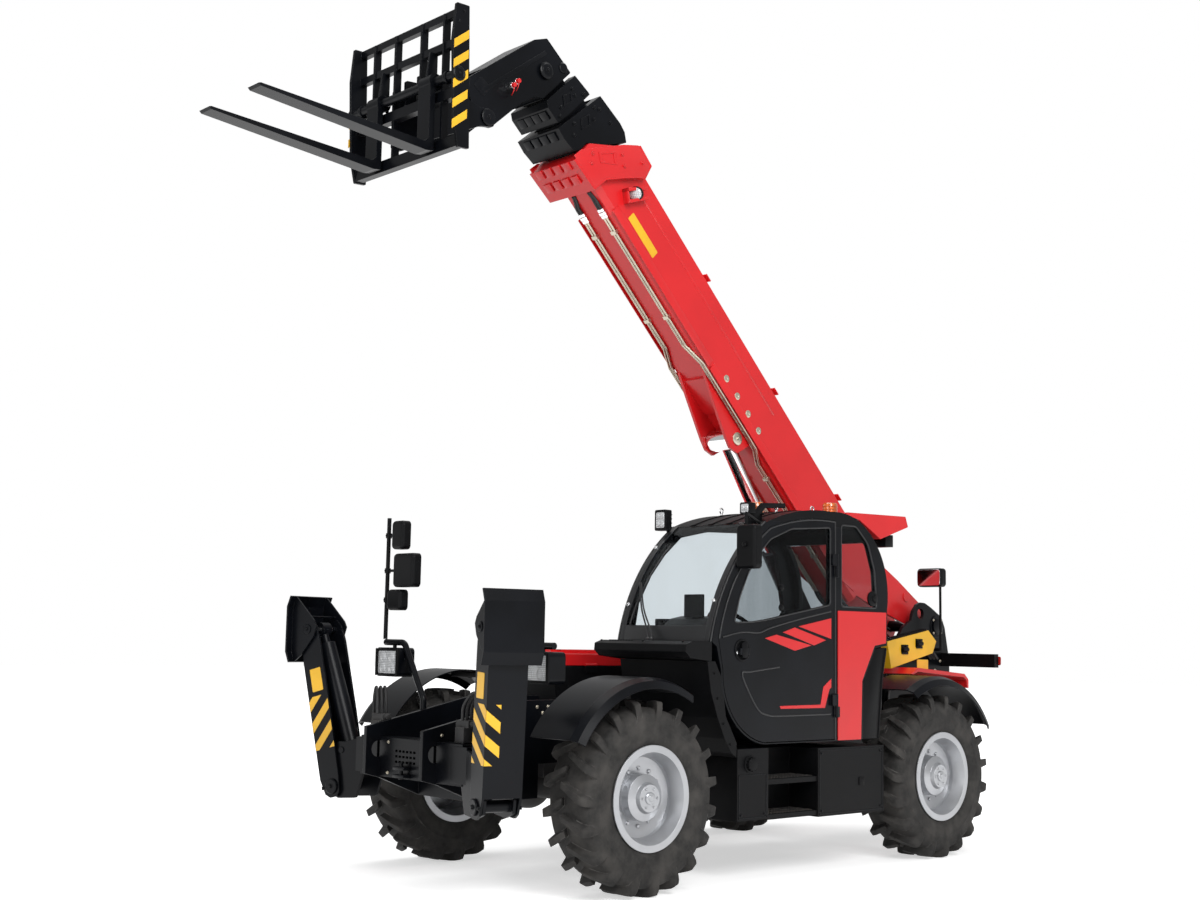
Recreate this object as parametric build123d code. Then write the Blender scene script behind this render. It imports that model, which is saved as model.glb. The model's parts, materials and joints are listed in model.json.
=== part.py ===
"""Telescopic handler with a four-section boom, fork carriage, offset cab, side engine and front stabilizers.

Millimetres, X forward, Y to the machine's left, Z up. While it is modelled, the origin is on the ground
midway between the axles; the finished pieces are moved so that it lies under the middle of their box.
"""

from build123d import *
import math
import os

# ---------------------------------------------------------------- driving sizes
# wheels and axles
WHEELBASE = 3180.0
TRACK = 2020.0
TYRE_R = 625.0
TYRE_WIDTH = 400.0
LUG_HEIGHT = 34.0
LUG_COUNT = 19
LUG_SINK = 26.0
RIM_R = 305.0
RIM_WIDTH = 376.0
RIM_WALL = 12.0
HUB_R = 150.0
KINGPIN_Y = 850.0
KINGPIN_R = 26.0
SPINDLE_R = 70.0
FENDER_R = 770.0
STEER_DEG = 30.0

# clearances
PIN_PLAY = 0.05
RUN_GAP = 0.3
PLATE_GAP = 5.0

# chassis
BOOM_Y = -40.0
FRAME_INNER = 300.0
FRAME_PLATE = 30.0
NOSE_X = 2750.0
TAIL_X = -3000.0
BELLY_Z = 560.0
DECK_Z = 900.0
EYE_X = -2575.0
EYE_Z = 1908.0
EYE_R = 46.0

# boom
PIVOT_X = -2810.0
PIVOT_Z = 1800.0
BOOM_DEG = 44.6
PIVOT_PIN_R = 50.0
BOOM_HALF_W = 190.0
BOOM_TOP = -70.0
BOOM_LOW = -580.0
BOOM_WALL = 12.0
SECTION_GAP = 12.0
HEAD_END = 5880.0
LIFT_PIN_U = 2735.0
LIFT_PIN_V = -672.0

# cylinders: place of the chassis pins
LIFT_BASE_X = -1935.0
LIFT_BASE_Z = 1050.0
LEVEL_BASE_X = -2080.0
LEVEL_BASE_Z = 1280.0
LEVEL_PIN_U = 360.0
LIFT_BARREL_R = 98.0
LIFT_ROD_R = 70.0
LIFT_EYE_PIN_R = 34.0
LEVEL_BARREL_R = 45.0
LEVEL_ROD_R = 26.0
LEVEL_BASE_PIN_R = 22.0
LIFT_TRAVEL = 440.0
LEVEL_TRAVEL = 150.0
TILT_TRAVEL = 145.0
LEG_TRAVEL = 385.0
CYLINDER_END = 45.0
PISTON = 25.0

# fork carriage
TILT_PIN_U = HEAD_END + 140.0
TILT_PIN_V = -1130.0
TILT_PIN_R = 35.0
TILT_BASE_U = HEAD_END + 98.0
TILT_BASE_V = -401.0
TILT_BASE_PIN_R = 25.0
TILT_ARM = 185.0
CARRIAGE_HALF_W = 600.0
FORK_LENGTH = 1300.0
FORK_WIDTH = 130.0
FORK_Y = 300.0
FORK_SHAFT_R = 32.0

# stabilizers: each leg works in an upright plane turned about its pivot, with places given as
# (along the pivot, outwards, up)
LEG_X = 2580.0
LEG_SPLAY = 13.2
LEG_HALF_X = 136.0
LEG_PIVOT_Y = 820.0
LEG_PIVOT_Z = 600.0
LEG_LENGTH = 1100.0
LEG_PLATE = 16.0
LEG_PIN_R = 38.0
LEG_LEAN = {"left": 3.1, "right": 14.3}
STAB_BASE = (-55.0, 247.0)
STAB_BARREL_R = 64.0
STAB_ROD_R = 30.0
STAB_PIN_R = 22.0
EAR_PLATE = 20.0
EAR_HALF_X = LEG_HALF_X - LEG_PLATE - 8
BEAM_X = (LEG_X - 110.0, LEG_X + 60.0)
BEAM_REACH = 560.0
BEAM_Z = (700.0, 960.0)
PAD_PIN_R = 20.0
PAD_REACH = 146.0
PAD_WIDTH = 412.0
PAD_HEIGHT = 315.0
PAD_LIP = 72.0
GUSSET_HALF_X = LEG_HALF_X + 21

# cab
CAB_RIGHT = 220.0
CAB_LEFT = 1150.0
CAB_WALL = 40.0
CAB_FLOOR = 930.0
CAB_BELT = 1620.0
DOOR_GAP = 6.0
DOOR_HINGE_X = -325.0
DOOR_HINGE_Y = CAB_LEFT + 14.0
DOOR_PIN_R = 12.0
DOOR_HINGES = (1180.0, 2200.0)
GLASS = 8.0
SCREEN = ((380.0, 1100.0), (CAB_RIGHT + 52.0, CAB_LEFT - 62.0), (1665.0, 2486.0))

# parts beside the tower
PROP_Y = 570.0

# lamp guards
GUARD_X = 2250.0
GUARD_TOP = 1585.0
GUARD_TUBE_R = 22.0
MIRROR_POST_Y = -875.0
MIRROR_ROUND = 32.0
LAMP_Y = {"left": 860.0, "right": -755.0}
LAMP_HALF = 135.0
GUARD_KNEE = {"left": 1500.0, "right": 1200.0}

# engine pod
POD_INNER = -385.0
POD_OUTER = -1150.0
POD_TOP = 1550.0
HOOD_HINGES = (-600.0, 700.0)
HOOD_PIN_R = 8.0
HOOD_PIN_Z = POD_TOP - 110.0

AXLES = {"front": WHEELBASE / 2, "rear": -WHEELBASE / 2}
SIDES = {"left": 1, "right": -1}
FRAME_SIDE = {"left": BOOM_Y + FRAME_INNER, "right": BOOM_Y - FRAME_INNER}


# ---------------------------------------------------------------- shape helpers
def box(x, y, z):
    """Block between pairs of places on each axis."""
    size = [b - a for a, b in (x, y, z)]
    return Pos((x[0] + x[1]) / 2, (y[0] + y[1]) / 2, (z[0] + z[1]) / 2) * Box(*size)


def polygon(points, radius=0.0):
    """Closed outline, with every corner rounded if a radius is given."""
    face = make_face(Polyline(*points, close=True))
    return fillet(face.vertices(), radius) if radius else face


def plate_x(face, x0, x1):
    """Outline in (Y, Z), as thick as from x0 to x1."""
    return extrude(Plane((x0, 0, 0), x_dir=(0, 1, 0), z_dir=(1, 0, 0)) * face, x1 - x0)


def plate_y(face, y0, y1):
    """Outline in (X, Z), as thick as from y0 to y1."""
    return extrude(Plane((0, y1, 0), x_dir=(1, 0, 0), z_dir=(0, -1, 0)) * face, y1 - y0)


def plate_z(face, z0, z1):
    """Outline in (X, Y), as thick as from z0 to z1."""
    return extrude(Pos(0, 0, z0) * face, z1 - z0)


def bar(start, end, radius):
    """Round bar between two points."""
    a, b = Vector(*start), Vector(*end)
    lie = Plane(origin=a, z_dir=b - a)
    return lie * Cylinder(radius, (b - a).length, align=(Align.CENTER, Align.CENTER, Align.MIN))


def bar_y(x, z, y0, y1, radius):
    return bar((x, min(y0, y1), z), (x, max(y0, y1), z), radius)


def bar_x(y, z, x0, x1, radius):
    return bar((min(x0, x1), y, z), (max(x0, x1), y, z), radius)


def ring_y(x, z, y0, y1, outer, inner):
    return bar_y(x, z, y0, y1, outer) - bar_y(x, z, y0 - 1, y1 + 1, inner)


def bent_tube(points, bends, radius, wall=0.0):
    """Tube along straight runs joined by arcs."""
    path = FilletPolyline(*points, radius=bends)
    start = Plane(origin=path @ 0, z_dir=path % 0)
    solid = sweep(start * Circle(radius), path=path)
    return solid - sweep(start * Circle(radius - wall), path=path) if wall else solid


def mirrored(shape):
    """The same shape on the other side of the machine's middle plane."""
    return mirror(shape, about=Plane.XZ)


def joined(shapes):
    first, *rest = shapes
    return first + rest if rest else first


def faceted(profile, sides):
    """Solid of flat facets about the Y axis, through rings given as (radius, place along Y)."""
    turns = [2 * math.pi * k / sides for k in range(sides)]
    rings = [[(r * math.cos(a), y, r * math.sin(a)) for a in turns] for r, y in profile]
    faces = [Face(Wire.make_polygon([near[k - 1], near[k], far[k], far[k - 1]]))
             for near, far in zip(rings, rings[1:]) for k in range(sides)]
    ends = [Face(Wire.make_polygon(ring)) for ring in (rings[0], rings[-1])]
    return Solid(Shell(faces + ends))


# ---------------------------------------------------------------- wheels, knuckles and axles
def tyre():
    """Tyre about the Y axis, with two rows of slanted lugs that meet in a staggered chevron."""
    half = TYRE_WIDTH / 2
    tread = TYRE_R - LUG_HEIGHT
    bead = RIM_WIDTH / 2 - RIM_WALL - RUN_GAP
    side = [(RIM_R + 52, -bead), (tread - 46, -half + 2), (tread, -half + 58)]
    profile = side + [(r, -y) for r, y in reversed(side)]
    carcass = faceted(profile, LUG_COUNT) - bar_y(0, 0, -half - 10, half + 10, RIM_R + RUN_GAP)
    pitch = 360 / LUG_COUNT
    lugs = [Rot(0, (k + 0.25 + 0.5 * (side < 0)) * pitch,
                0) * lug(side) for k in range(LUG_COUNT) for side in (-1, 1)]
    return carcass + lugs


def lug(side):
    """One lug: a bar that leaves the middle of the tread and sweeps back to the shoulder."""
    half = TYRE_WIDTH / 2
    far = 112.0
    foot = [(-28, -6), (28, -6), (far, half - 20), (far - 70, half - 20)]
    crest = math.sqrt(TYRE_R ** 2 - far ** 2)
    return plate_z(polygon([(x, side * y) for x, y in foot]), TYRE_R - LUG_HEIGHT - LUG_SINK, crest)


def rim():
    """Steel rim with its centre disc and the planetary hub that it is bolted to, outer side towards +Y."""
    half = RIM_WIDTH / 2
    lip = RIM_R + 34
    # radius and place across, from the inner lip round the outside and back through the inside
    seat = half - RIM_WALL
    wall = [(lip, -half), (lip, -seat), (RIM_R, -seat), (RIM_R, seat), (lip, seat), (lip, half),
            (RIM_R - 12, half),
            (RIM_R - 46, half - 90), (RIM_R - 46, -half + 90), (RIM_R - 12, -half)]
    barrel = revolve(polygon(wall), Axis.Y)
    disc = revolve(polygon([(HUB_R - 20, 34), (RIM_R - 40, 55), (RIM_R - 40, 69), (HUB_R - 20, 48)]), Axis.Y)
    bore = SPINDLE_R + PIN_PLAY
    hub = revolve(polygon([(bore, -70), (HUB_R, -60), (HUB_R, 120), (100, 140), (88, 168), (0, 168),
                           (0, 120), (bore, 120)]),
                  Axis.Y)
    return barrel + disc + hub


def knuckle(end, side):
    """Steering knuckle with its spindle, the arm of the fender and the fender itself."""
    x = AXLES[end]
    s = SIDES[side]
    inward = -1 if end == "front" else 1
    outward = -inward
    z = TYRE_R
    y = s * KINGPIN_Y
    body = Pos(x, y, z) * Cylinder(80, 270)
    pins = Pos(x, y, z) * Cylinder(KINGPIN_R, 366)
    spindle = bar_y(x, z, y, s * (TRACK / 2 + 90), SPINDLE_R)
    flange = bar_y(x, z, s * (KINGPIN_Y + 60), s * (KINGPIN_Y + 84), 125)
    ys = sorted((s * (KINGPIN_Y - 92), s * (KINGPIN_Y - 62)))
    arm = box(sorted((x, x + inward * 190)), ys, (z - 30, z + 30))
    strut = box(sorted((x + inward * 150, x + inward * 190)), ys, (z - 30, z + FENDER_R - 30))
    link = bar((x, y, z), (x + inward * 60, s * (KINGPIN_Y - 77), z), 45)
    cross = box(sorted((x + inward * 150, x + inward * 190)), sorted((s * (KINGPIN_Y - 92), s * 1150)),
                (z + FENDER_R - 62, z + FENDER_R - 28))
    return body + pins + spindle + flange + arm + strut + link + cross + fender(x, s, outward)


def fender(x, s, outward):
    """Curved mudguard over the tyre, with a turned-down outer edge."""
    r = FENDER_R
    section = polygon([(r - 8, 760), (r, 760), (r, 1140), (r - 22, 1195), (r - 70, 1220), (r - 76, 1212),
                       (r - 28, 1186), (r - 8, 1136)])
    shell = revolve(section, Axis.Y, 90)
    shell = Rot(0, -120 if outward > 0 else -150, 0) * shell
    return Pos(x, 0, TYRE_R) * (shell if s > 0 else mirrored(shell))


def axle(end):
    """Axle beam with its differential case and a forked yoke at each end."""
    x = AXLES[end]
    z = TYRE_R
    beam = plate_y(polygon([(x - 85, z - 75), (x + 85, z - 75), (x + 85, z + 75), (x - 85, z + 75)], 20),
                   -KINGPIN_Y + 175, KINGPIN_Y - 175)
    case = Pos(x, BOOM_Y, z) * Sphere(170)
    case &= box((x - 170, x + 170), (BOOM_Y - 170, BOOM_Y + 170), (z - 165, z + 160))
    saddle = box((x - 140, x + 140), (BOOM_Y - FRAME_INNER - FRAME_PLATE, BOOM_Y + FRAME_INNER + FRAME_PLATE),
                 (z + 70, z + 165))
    pieces = [beam, case, saddle]
    for s in SIDES.values():
        for up in (-1, 1):
            face = polygon([(s * (KINGPIN_Y - 200), z + up * 70), (s * (KINGPIN_Y - 200), z + up * 10),
                            (s * (KINGPIN_Y - 150), z + up * 40), (s * (KINGPIN_Y - 110), z + up * 141),
                            (s * (KINGPIN_Y - 60), z + up * 141), (s * (KINGPIN_Y - 60), z + up * 178),
                            (s * (KINGPIN_Y - 130), z + up * 178)])
            pieces.append(plate_x(face, x - 70, x + 70))
            low, high = sorted((z + up * 141, z + up * 178))
            pieces.append(Pos(x, s * KINGPIN_Y, (low + high) / 2) * Cylinder(70, high - low))
    body = joined(pieces)
    for s in SIDES.values():
        body -= Pos(x, s * KINGPIN_Y, z) * Cylinder(KINGPIN_R + PIN_PLAY, 400)
    return body


def wheel_room(end, side):
    """Space that a steered tyre sweeps, which fixed pieces leave free."""
    reach = TRACK / 2 + TYRE_WIDTH / 2 - KINGPIN_Y
    heights = [-TYRE_R, -0.9 * TYRE_R, -0.7 * TYRE_R, -0.4 * TYRE_R, 0, 0.4 * TYRE_R, 0.7 * TYRE_R,
               0.9 * TYRE_R,
               TYRE_R]
    rim_line = [(math.hypot(math.sqrt(TYRE_R ** 2 - h ** 2), reach) + 32, h) for h in heights]
    face = polygon([(0, -TYRE_R - 12)] + rim_line + [(0, TYRE_R + 12)])
    solid = revolve(Plane.XZ * face, Axis.Z)
    return Pos(AXLES[end], SIDES[side] * KINGPIN_Y, TYRE_R) * solid


# ---------------------------------------------------------------- chassis
def chassis_frame():
    """Welded plates: long sides with the boom tower, belly, cross walls, cylinder cradle, pins and prop rack."""
    outline = [(NOSE_X - 120, 690), (NOSE_X, 720), (NOSE_X, 1030), (1900, 1215), (1250, 1215), (1080, DECK_Z),
               (-1150, DECK_Z), (-1500, 1180), (-2180, 1250), (-2250, 1700), (-2330, 1790), (-2445, 1850),
               (-2475, 1930), (-2530, 1985), (-2580, 2005), (-2640, 2002), (-2740, 1960), (-2885, 1885),
               (-2935, 1790), (TAIL_X, 1500), (TAIL_X, BELLY_Z + 60), (-2800, BELLY_Z), (2300, BELLY_Z)]
    side = polygon(outline)
    plates = []
    for name, inner in FRAME_SIDE.items():
        outer = inner + SIDES[name] * FRAME_PLATE
        plate = plate_y(side, *sorted((inner, outer)))
        for x in AXLES.values():
            plate -= box((x - 190, x + 190), (-500, 500), (0, TYRE_R + 165))
        plate -= bar_y(2650, 880, -500, 500, 55)
        plate -= bar_y(EYE_X, EYE_Z, -500, 500, EYE_R)
        plate += bar_y(PIVOT_X, PIVOT_Z, outer - SIDES[name] * FRAME_PLATE, outer + SIDES[name] * 8, 95)
        plates.append(plate + bar_y(PIVOT_X, PIVOT_Z, inner, outer + SIDES[name] * 12, PIVOT_PIN_R))
    y0, y1 = FRAME_SIDE["right"], FRAME_SIDE["left"]
    deck = (BELLY_Z, BELLY_Z + 20)
    belly = [box(span, (y0, y1), deck) for span in ((-2800, -1790), (-1380, 1380), (1790, 2290))]
    walls = [box((TAIL_X, TAIL_X + 25), (y0, y1), (BELLY_Z + 60, 1480)),
             box((2290, 2310), (y0, y1), (BELLY_Z, 900)),
             box((-1400, -1380), (y0, y1), (BELLY_Z, 820)), box((1380, 1400), (y0, y1), (BELLY_Z, 820))]
    pivot_pin = bar_y(PIVOT_X, PIVOT_Z, y0, y1, PIVOT_PIN_R)
    foot = polygon([(-2250, deck[1]), (-1800, deck[1]), (-1800, 900), (LIFT_BASE_X + 62, 1100),
                    (LIFT_BASE_X - 20, LIFT_BASE_Z + 76), (LEVEL_BASE_X + 45, LEVEL_BASE_Z + 40),
                    (LEVEL_BASE_X - 45, LEVEL_BASE_Z + 40), (LEVEL_BASE_X - 70, LEVEL_BASE_Z - 60),
                    (-2250, 900)], 18)
    cradle = [bar_y(LEVEL_BASE_X, LEVEL_BASE_Z, BOOM_Y - 230, BOOM_Y + 230, LEVEL_BASE_PIN_R)]
    for s in (-1, 1):
        cradle.append(plate_y(foot, *sorted((BOOM_Y + s * 230, BOOM_Y + s * 255))))
        cradle.append(box((-2150, -1900), sorted((BOOM_Y + s * 255, BOOM_Y + s * FRAME_INNER)), (deck[1], 760)))
    rack = [box((-2600, -1840), (y1 + FRAME_PLATE, y1 + FRAME_PLATE + 20), (1590, 1640))]
    rack += [box((x, x + 50), (y1 + FRAME_PLATE + 20, PROP_Y), (1590, 1630)) for x in (-2280, -1900)]
    return plates + belly + walls + [pivot_pin] + cradle + [joined(rack)]


def counterweight():
    """Cast block at the tail, between and behind the frame plates."""
    y0, y1 = FRAME_SIDE["right"], FRAME_SIDE["left"]
    return box((-2970, -2420), (y0, y1), (BELLY_Z + 20, 1150))


def engine_block():
    return box((-250, 620), (POD_OUTER + 120, POD_INNER - 90), (600, 1380))


def pod_profile():
    return [(-800, 500), (800, 500), (880, 900), (1040, 1150), (1060, 1330), (1080, 1340), (1080, 1440),
            (1020, POD_TOP - 30), (-960, POD_TOP - 30), (-1000, 1340), (-900, 1000)]


def engine_pod():
    """Housing at the right of the boom: walls, floor and end walls under a hinged hood."""
    solid = plate_y(polygon(pod_profile(), 8), POD_OUTER, POD_INNER)
    hollow = plate_y(offset(polygon(pod_profile()), -25), POD_OUTER + 25, POD_INNER - 25)
    shell = solid - hollow - box((-1100, 1200), (POD_OUTER - 10, POD_INNER + 10), (POD_TOP - 120, POD_TOP + 50))
    for end in AXLES:
        shell -= wheel_room(end, "right")
    knuckles = [box((x - 55, x + 55), (POD_INNER, POD_INNER + 16),
                    (POD_TOP - 170, HOOD_PIN_Z - HOOD_PIN_R - RUN_GAP))
                for x in HOOD_HINGES]
    mounts = [box((x - 60, x + 60), (POD_INNER - 5, FRAME_SIDE["right"] - FRAME_PLATE),
                  (620, 760)) for x in (-300, 500)]
    feet = [box((x - 40, x + 40), (POD_OUTER + 160, POD_INNER - 120), (520, 600)) for x in (-150, 500)]
    return joined([shell] + mounts + feet + knuckles)


def engine_lid():
    """Hood that closes the pod, as thick as its panel, with a raised spine."""
    profile = polygon(pod_profile(), 8)
    solid = plate_y(profile, POD_OUTER, POD_INNER)
    hollow = plate_y(offset(polygon(pod_profile()), -18), POD_OUTER + 18, POD_INNER - 18)
    hood = (solid - hollow) & box((-1100, 1200), (POD_OUTER - 10, POD_INNER + 10),
                                  (POD_TOP - 120 + PLATE_GAP, POD_TOP + 50))
    spine = box((-700, 900), ((POD_OUTER + POD_INNER) / 2 - 150, (POD_OUTER + POD_INNER) / 2 + 150),
                (POD_TOP - 34, POD_TOP))
    hinge = [bar_x(POD_INNER + HOOD_PIN_R, HOOD_PIN_Z, x - 60, x + 60, HOOD_PIN_R)
             + box((x - 60, x + 60), (POD_INNER - 4, POD_INNER + HOOD_PIN_R),
                   (HOOD_PIN_Z - 4, HOOD_PIN_Z + 10)) for x in HOOD_HINGES]
    return joined([hood, spine] + hinge)


# ---------------------------------------------------------------- cab
def cab_profile():
    """Side outline of the cab: curved windscreen, domed roof and sloped back."""
    screen = ThreePointArc((990, 1630), (870, 1985), (440, 2480))
    roof = ThreePointArc((440, 2480), (110, 2575), (-300, 2600))
    back = ThreePointArc((-300, 2600), (-760, 2450), (-950, 1890))
    sill = ThreePointArc((900, 1440), (770, 1090), (460, CAB_FLOOR))
    hip = [(-950, 1890), (-945, 1625), (-800, 1606), (-655, 1356), (-640, CAB_FLOOR), (460, CAB_FLOOR)]
    rest = [Polyline(*hip), Line((900, 1440), (945, 1600)), Line((945, 1600), (990, 1630))]
    return make_face([screen, roof, back, sill] + rest)


def cab_hull(grow):
    """The whole outer form of the cab, grown a little, to seat other pieces against."""
    return plate_y(offset(cab_profile(), grow), CAB_RIGHT - grow, CAB_LEFT + grow)


def door_outline(grow=0.0):
    front = ThreePointArc((925, 1655), (770, 2060), (400, 2440))
    top = ThreePointArc((400, 2440), (100, 2510), (-320, 2530))
    low = ThreePointArc((880, 1440), (750, 1100), (455, CAB_FLOOR + 15))
    rest = [Line((-320, 2530), (-320, CAB_FLOOR + 15)), Line((-320, CAB_FLOOR + 15), (455, CAB_FLOOR + 15)),
            Line((880, 1440), (925, 1655))]
    face = make_face([front, top, low] + rest)
    return offset(face, grow) if grow else face


def door_window():
    return polygon([(-265, 1915), (460, 1788), (600, 1772), (775, 1765), (722, 1936), (640, 2100), (545, 2232),
                    (400, 2362), (170, 2448), (-265, 2482)], 15)


def quarter_window():
    return polygon([(-395, 1905), (-395, 2510), (-570, 2510), (-715, 2385), (-795, 2180), (-820, 1905)], 15)


def right_window():
    return polygon([(-820, 1760), (860, 1700), (820, 1900), (700, 2100), (560, 2260), (390, 2400), (100, 2460),
                    (-450, 2480), (-700, 2330)], 15)


def quarter_panel():
    face = polygon([(-352, CAB_FLOOR + 4), (-622, CAB_FLOOR + 4), (-636, 1362), (-788, 1624), (-928, 1643),
                    (-933, 1875),
                    (-352, 1875)], 6)
    return plate_y(face, CAB_LEFT - CAB_WALL, CAB_LEFT + 6)


def cab_shell():
    solid = plate_y(cab_profile(), CAB_RIGHT, CAB_LEFT)
    room = plate_y(offset(cab_profile(), -CAB_WALL), CAB_RIGHT + CAB_WALL, CAB_LEFT - CAB_WALL)
    shell = solid - room
    shell -= box(*SCREEN)
    shell -= box((-1100, -500), (CAB_RIGHT + 85, CAB_LEFT - 85), (1800, 2400))
    shell -= plate_y(door_outline(DOOR_GAP), CAB_LEFT - CAB_WALL - 5, CAB_LEFT + 5)
    shell -= plate_y(quarter_window(), CAB_LEFT - CAB_WALL - 5, CAB_LEFT + 5)
    shell -= plate_y(right_window(), CAB_RIGHT - 5, CAB_RIGHT + CAB_WALL + 5)
    shell -= quarter_panel()
    jamb = [bar((DOOR_HINGE_X, DOOR_HINGE_Y, z - 80), (DOOR_HINGE_X, DOOR_HINGE_Y, z - RUN_GAP), DOOR_PIN_R)
            + box((DOOR_HINGE_X - 25, DOOR_HINGE_X - 2), (CAB_LEFT - 10, DOOR_HINGE_Y + DOOR_PIN_R - 2),
                  (z - 78, z - 2))
            for z in DOOR_HINGES]
    return joined([shell] + jamb)


def cab_glass():
    """Bent windscreen, rear pane, right pane and the pane behind the door."""
    band = cab_profile() - offset(cab_profile(), -GLASS)
    band_solid = plate_y(band, CAB_RIGHT + 85, CAB_LEFT - 85)
    inset = RUN_GAP
    screen = plate_y(band, SCREEN[1][0] + inset, SCREEN[1][1] - inset)
    screen &= box(SCREEN[0], SCREEN[1], (SCREEN[2][0] + inset, SCREEN[2][1] - inset))
    rear = band_solid & box((-1100, -500), (CAB_RIGHT + 85 + inset, CAB_LEFT - 85 - inset),
                            (1800 + inset, 2400 - inset))
    quarter = plate_y(offset(quarter_window(), -inset), CAB_LEFT - GLASS - 6, CAB_LEFT - 6)
    right = plate_y(offset(right_window(), -inset), CAB_RIGHT + 6, CAB_RIGHT + GLASS + 6)
    return [screen, rear, quarter, right]


def door():
    panel = plate_y(door_outline(), CAB_LEFT - CAB_WALL, CAB_LEFT)
    panel -= plate_y(door_window(), CAB_LEFT - CAB_WALL - 5, CAB_LEFT + 5)
    handle = box((640, 730), (CAB_LEFT, CAB_LEFT + 22), (1545, 1590))
    hinges = [bar((DOOR_HINGE_X, DOOR_HINGE_Y, z), (DOOR_HINGE_X, DOOR_HINGE_Y, z + 90), DOOR_PIN_R)
              + box((DOOR_HINGE_X + 2, DOOR_HINGE_X + 55), (CAB_LEFT - 2, CAB_LEFT + 22),
                    (z + 5, z + 85)) for z in DOOR_HINGES]
    return joined([panel, handle] + hinges)


def door_glass():
    return plate_y(offset(door_window(), -RUN_GAP), CAB_LEFT - GLASS - 6, CAB_LEFT - 6)


def seat():
    base = box((-420, 60), (520, 900), (CAB_FLOOR + CAB_WALL, 1230))
    cushion = fillet(box((-460, 80), (480, 940), (1230, 1370)).edges(), 35)
    back = Pos(-430, 0, 1310) * Rot(0, -10, 0) * fillet(box((-70, 60), (490, 930), (0, 620)).edges(), 30)
    return joined([base, cushion, back])


def cab_controls():
    """Dashboard, steering column with its wheel, and the armrest console."""
    dash = plate_y(polygon([(480, 970), (600, 970), (820, 1400), (900, 1640), (620, 1680), (560, 1560)], 10),
                   CAB_RIGHT + CAB_WALL, CAB_LEFT - CAB_WALL - 60)
    top = Vector(300, 700, 1740)
    column = bar((560, 700, 1400), top, 38)
    wheel = Plane(origin=top, z_dir=(-260, 0, 340)) * Torus(185, 15)
    spokes = [Plane(origin=top, z_dir=(-260, 0, 340)) * Rot(0, 0,
                                                            120 * k) * box((0, 182), (-14, 14),
                                                                           (-8, 8)) for k in range(3)]
    console = box((-380, 200), (CAB_RIGHT + CAB_WALL, 440), (CAB_FLOOR + CAB_WALL, 1560))
    stick = bar((120, 350, 1555), (135, 350, 1700), 16)
    room = plate_y(offset(cab_profile(), -CAB_WALL), CAB_RIGHT + CAB_WALL, CAB_LEFT - CAB_WALL)
    return joined([dash & room, column, wheel, console, stick] + spokes)


def cowl():
    """Front cowl under the windscreen with the moulded skirt below it."""
    tray = plate_y(polygon([(995, 1500), (1200, 1520), (1250, 1560), (1245, 1610), (1180, 1632),
                            (995, 1632)], 8),
                   CAB_RIGHT + 30, CAB_LEFT)
    skirt_line = [(890, 1380), (960, 1500), (1035, 1500), (1000, 1300), (930, 1120), (860, 980), (790, 880),
                  (740, 850),
                  (740, 950), (850, 1130)]
    skirt = plate_y(polygon(skirt_line), FRAME_SIDE["left"] + FRAME_PLATE + PLATE_GAP, CAB_LEFT)
    skirt -= plate_y(offset(cab_profile(), 1.0), CAB_RIGHT, CAB_LEFT + 10)
    return joined([tray, skirt])


def step_box():
    """Tank and battery boxes under the cab with the ladder between them."""
    left = CAB_LEFT
    tank = box((-900, -130), (330, left), (400, 885))
    tank -= wheel_room("rear", "left")
    locker = box((410, 730), (330, left), (420, 905))
    rungs = [box((-130, 410), (880, left - 10), (z - 18, z + 18)) for z in (430, 670)]
    back = box((-130, 410), (860, 880), (420, 880))
    hang = [box((x, x + 120), (FRAME_SIDE["left"] + FRAME_PLATE, 330), (620, 820)) for x in (-700, -300, 480)]
    return joined([tank, locker, back] + rungs + hang)


def cab_mounts():
    return [box((x, x + 120), (FRAME_SIDE["left"] + FRAME_PLATE - 30, 700),
                (DECK_Z, CAB_FLOOR)) for x in (-560, 300)]


def visor_block():
    face = polygon([(-380, 2608), (-1190, 2625), (-1222, 2545), (-870, 2432), (-800, 2470), (-620, 2560)], 10)
    return plate_y(face, CAB_RIGHT, CAB_LEFT)


def roof_visor():
    """Red roof wing behind the cab roof."""
    return visor_block() - cab_hull(RUN_GAP)


def lamps():
    """Roof work lights, beacons and the lamp under the visor."""
    made = []
    for y, z, half, tall in ((224, 2523, 60, 78), (1066, 2572, 48, 42)):
        face = polygon([(y - half, z - tall), (y + half, z - tall), (y + half, z + tall),
                        (y - half, z + tall)], 14)
        lamp = plate_x(face, 520, 580)
        made.append(joined([lamp, bar((500, y, 2400), (545, y, z), 12)]) - cab_hull(RUN_GAP))
    for x, y, z in ((400, 1010, 2520), (-820, 700, 2620)):
        made.append(joined([bar((x, y, z - 60), (x, y, z + 30), 45), bar((x, y, z + 30), (x, y, z + 110), 60)])
                    - cab_hull(RUN_GAP) - visor_block())
    made.append(box((-1110, -1015), (CAB_LEFT - 190, CAB_LEFT - 60), (2385, 2505)) - visor_block())
    return made


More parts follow.
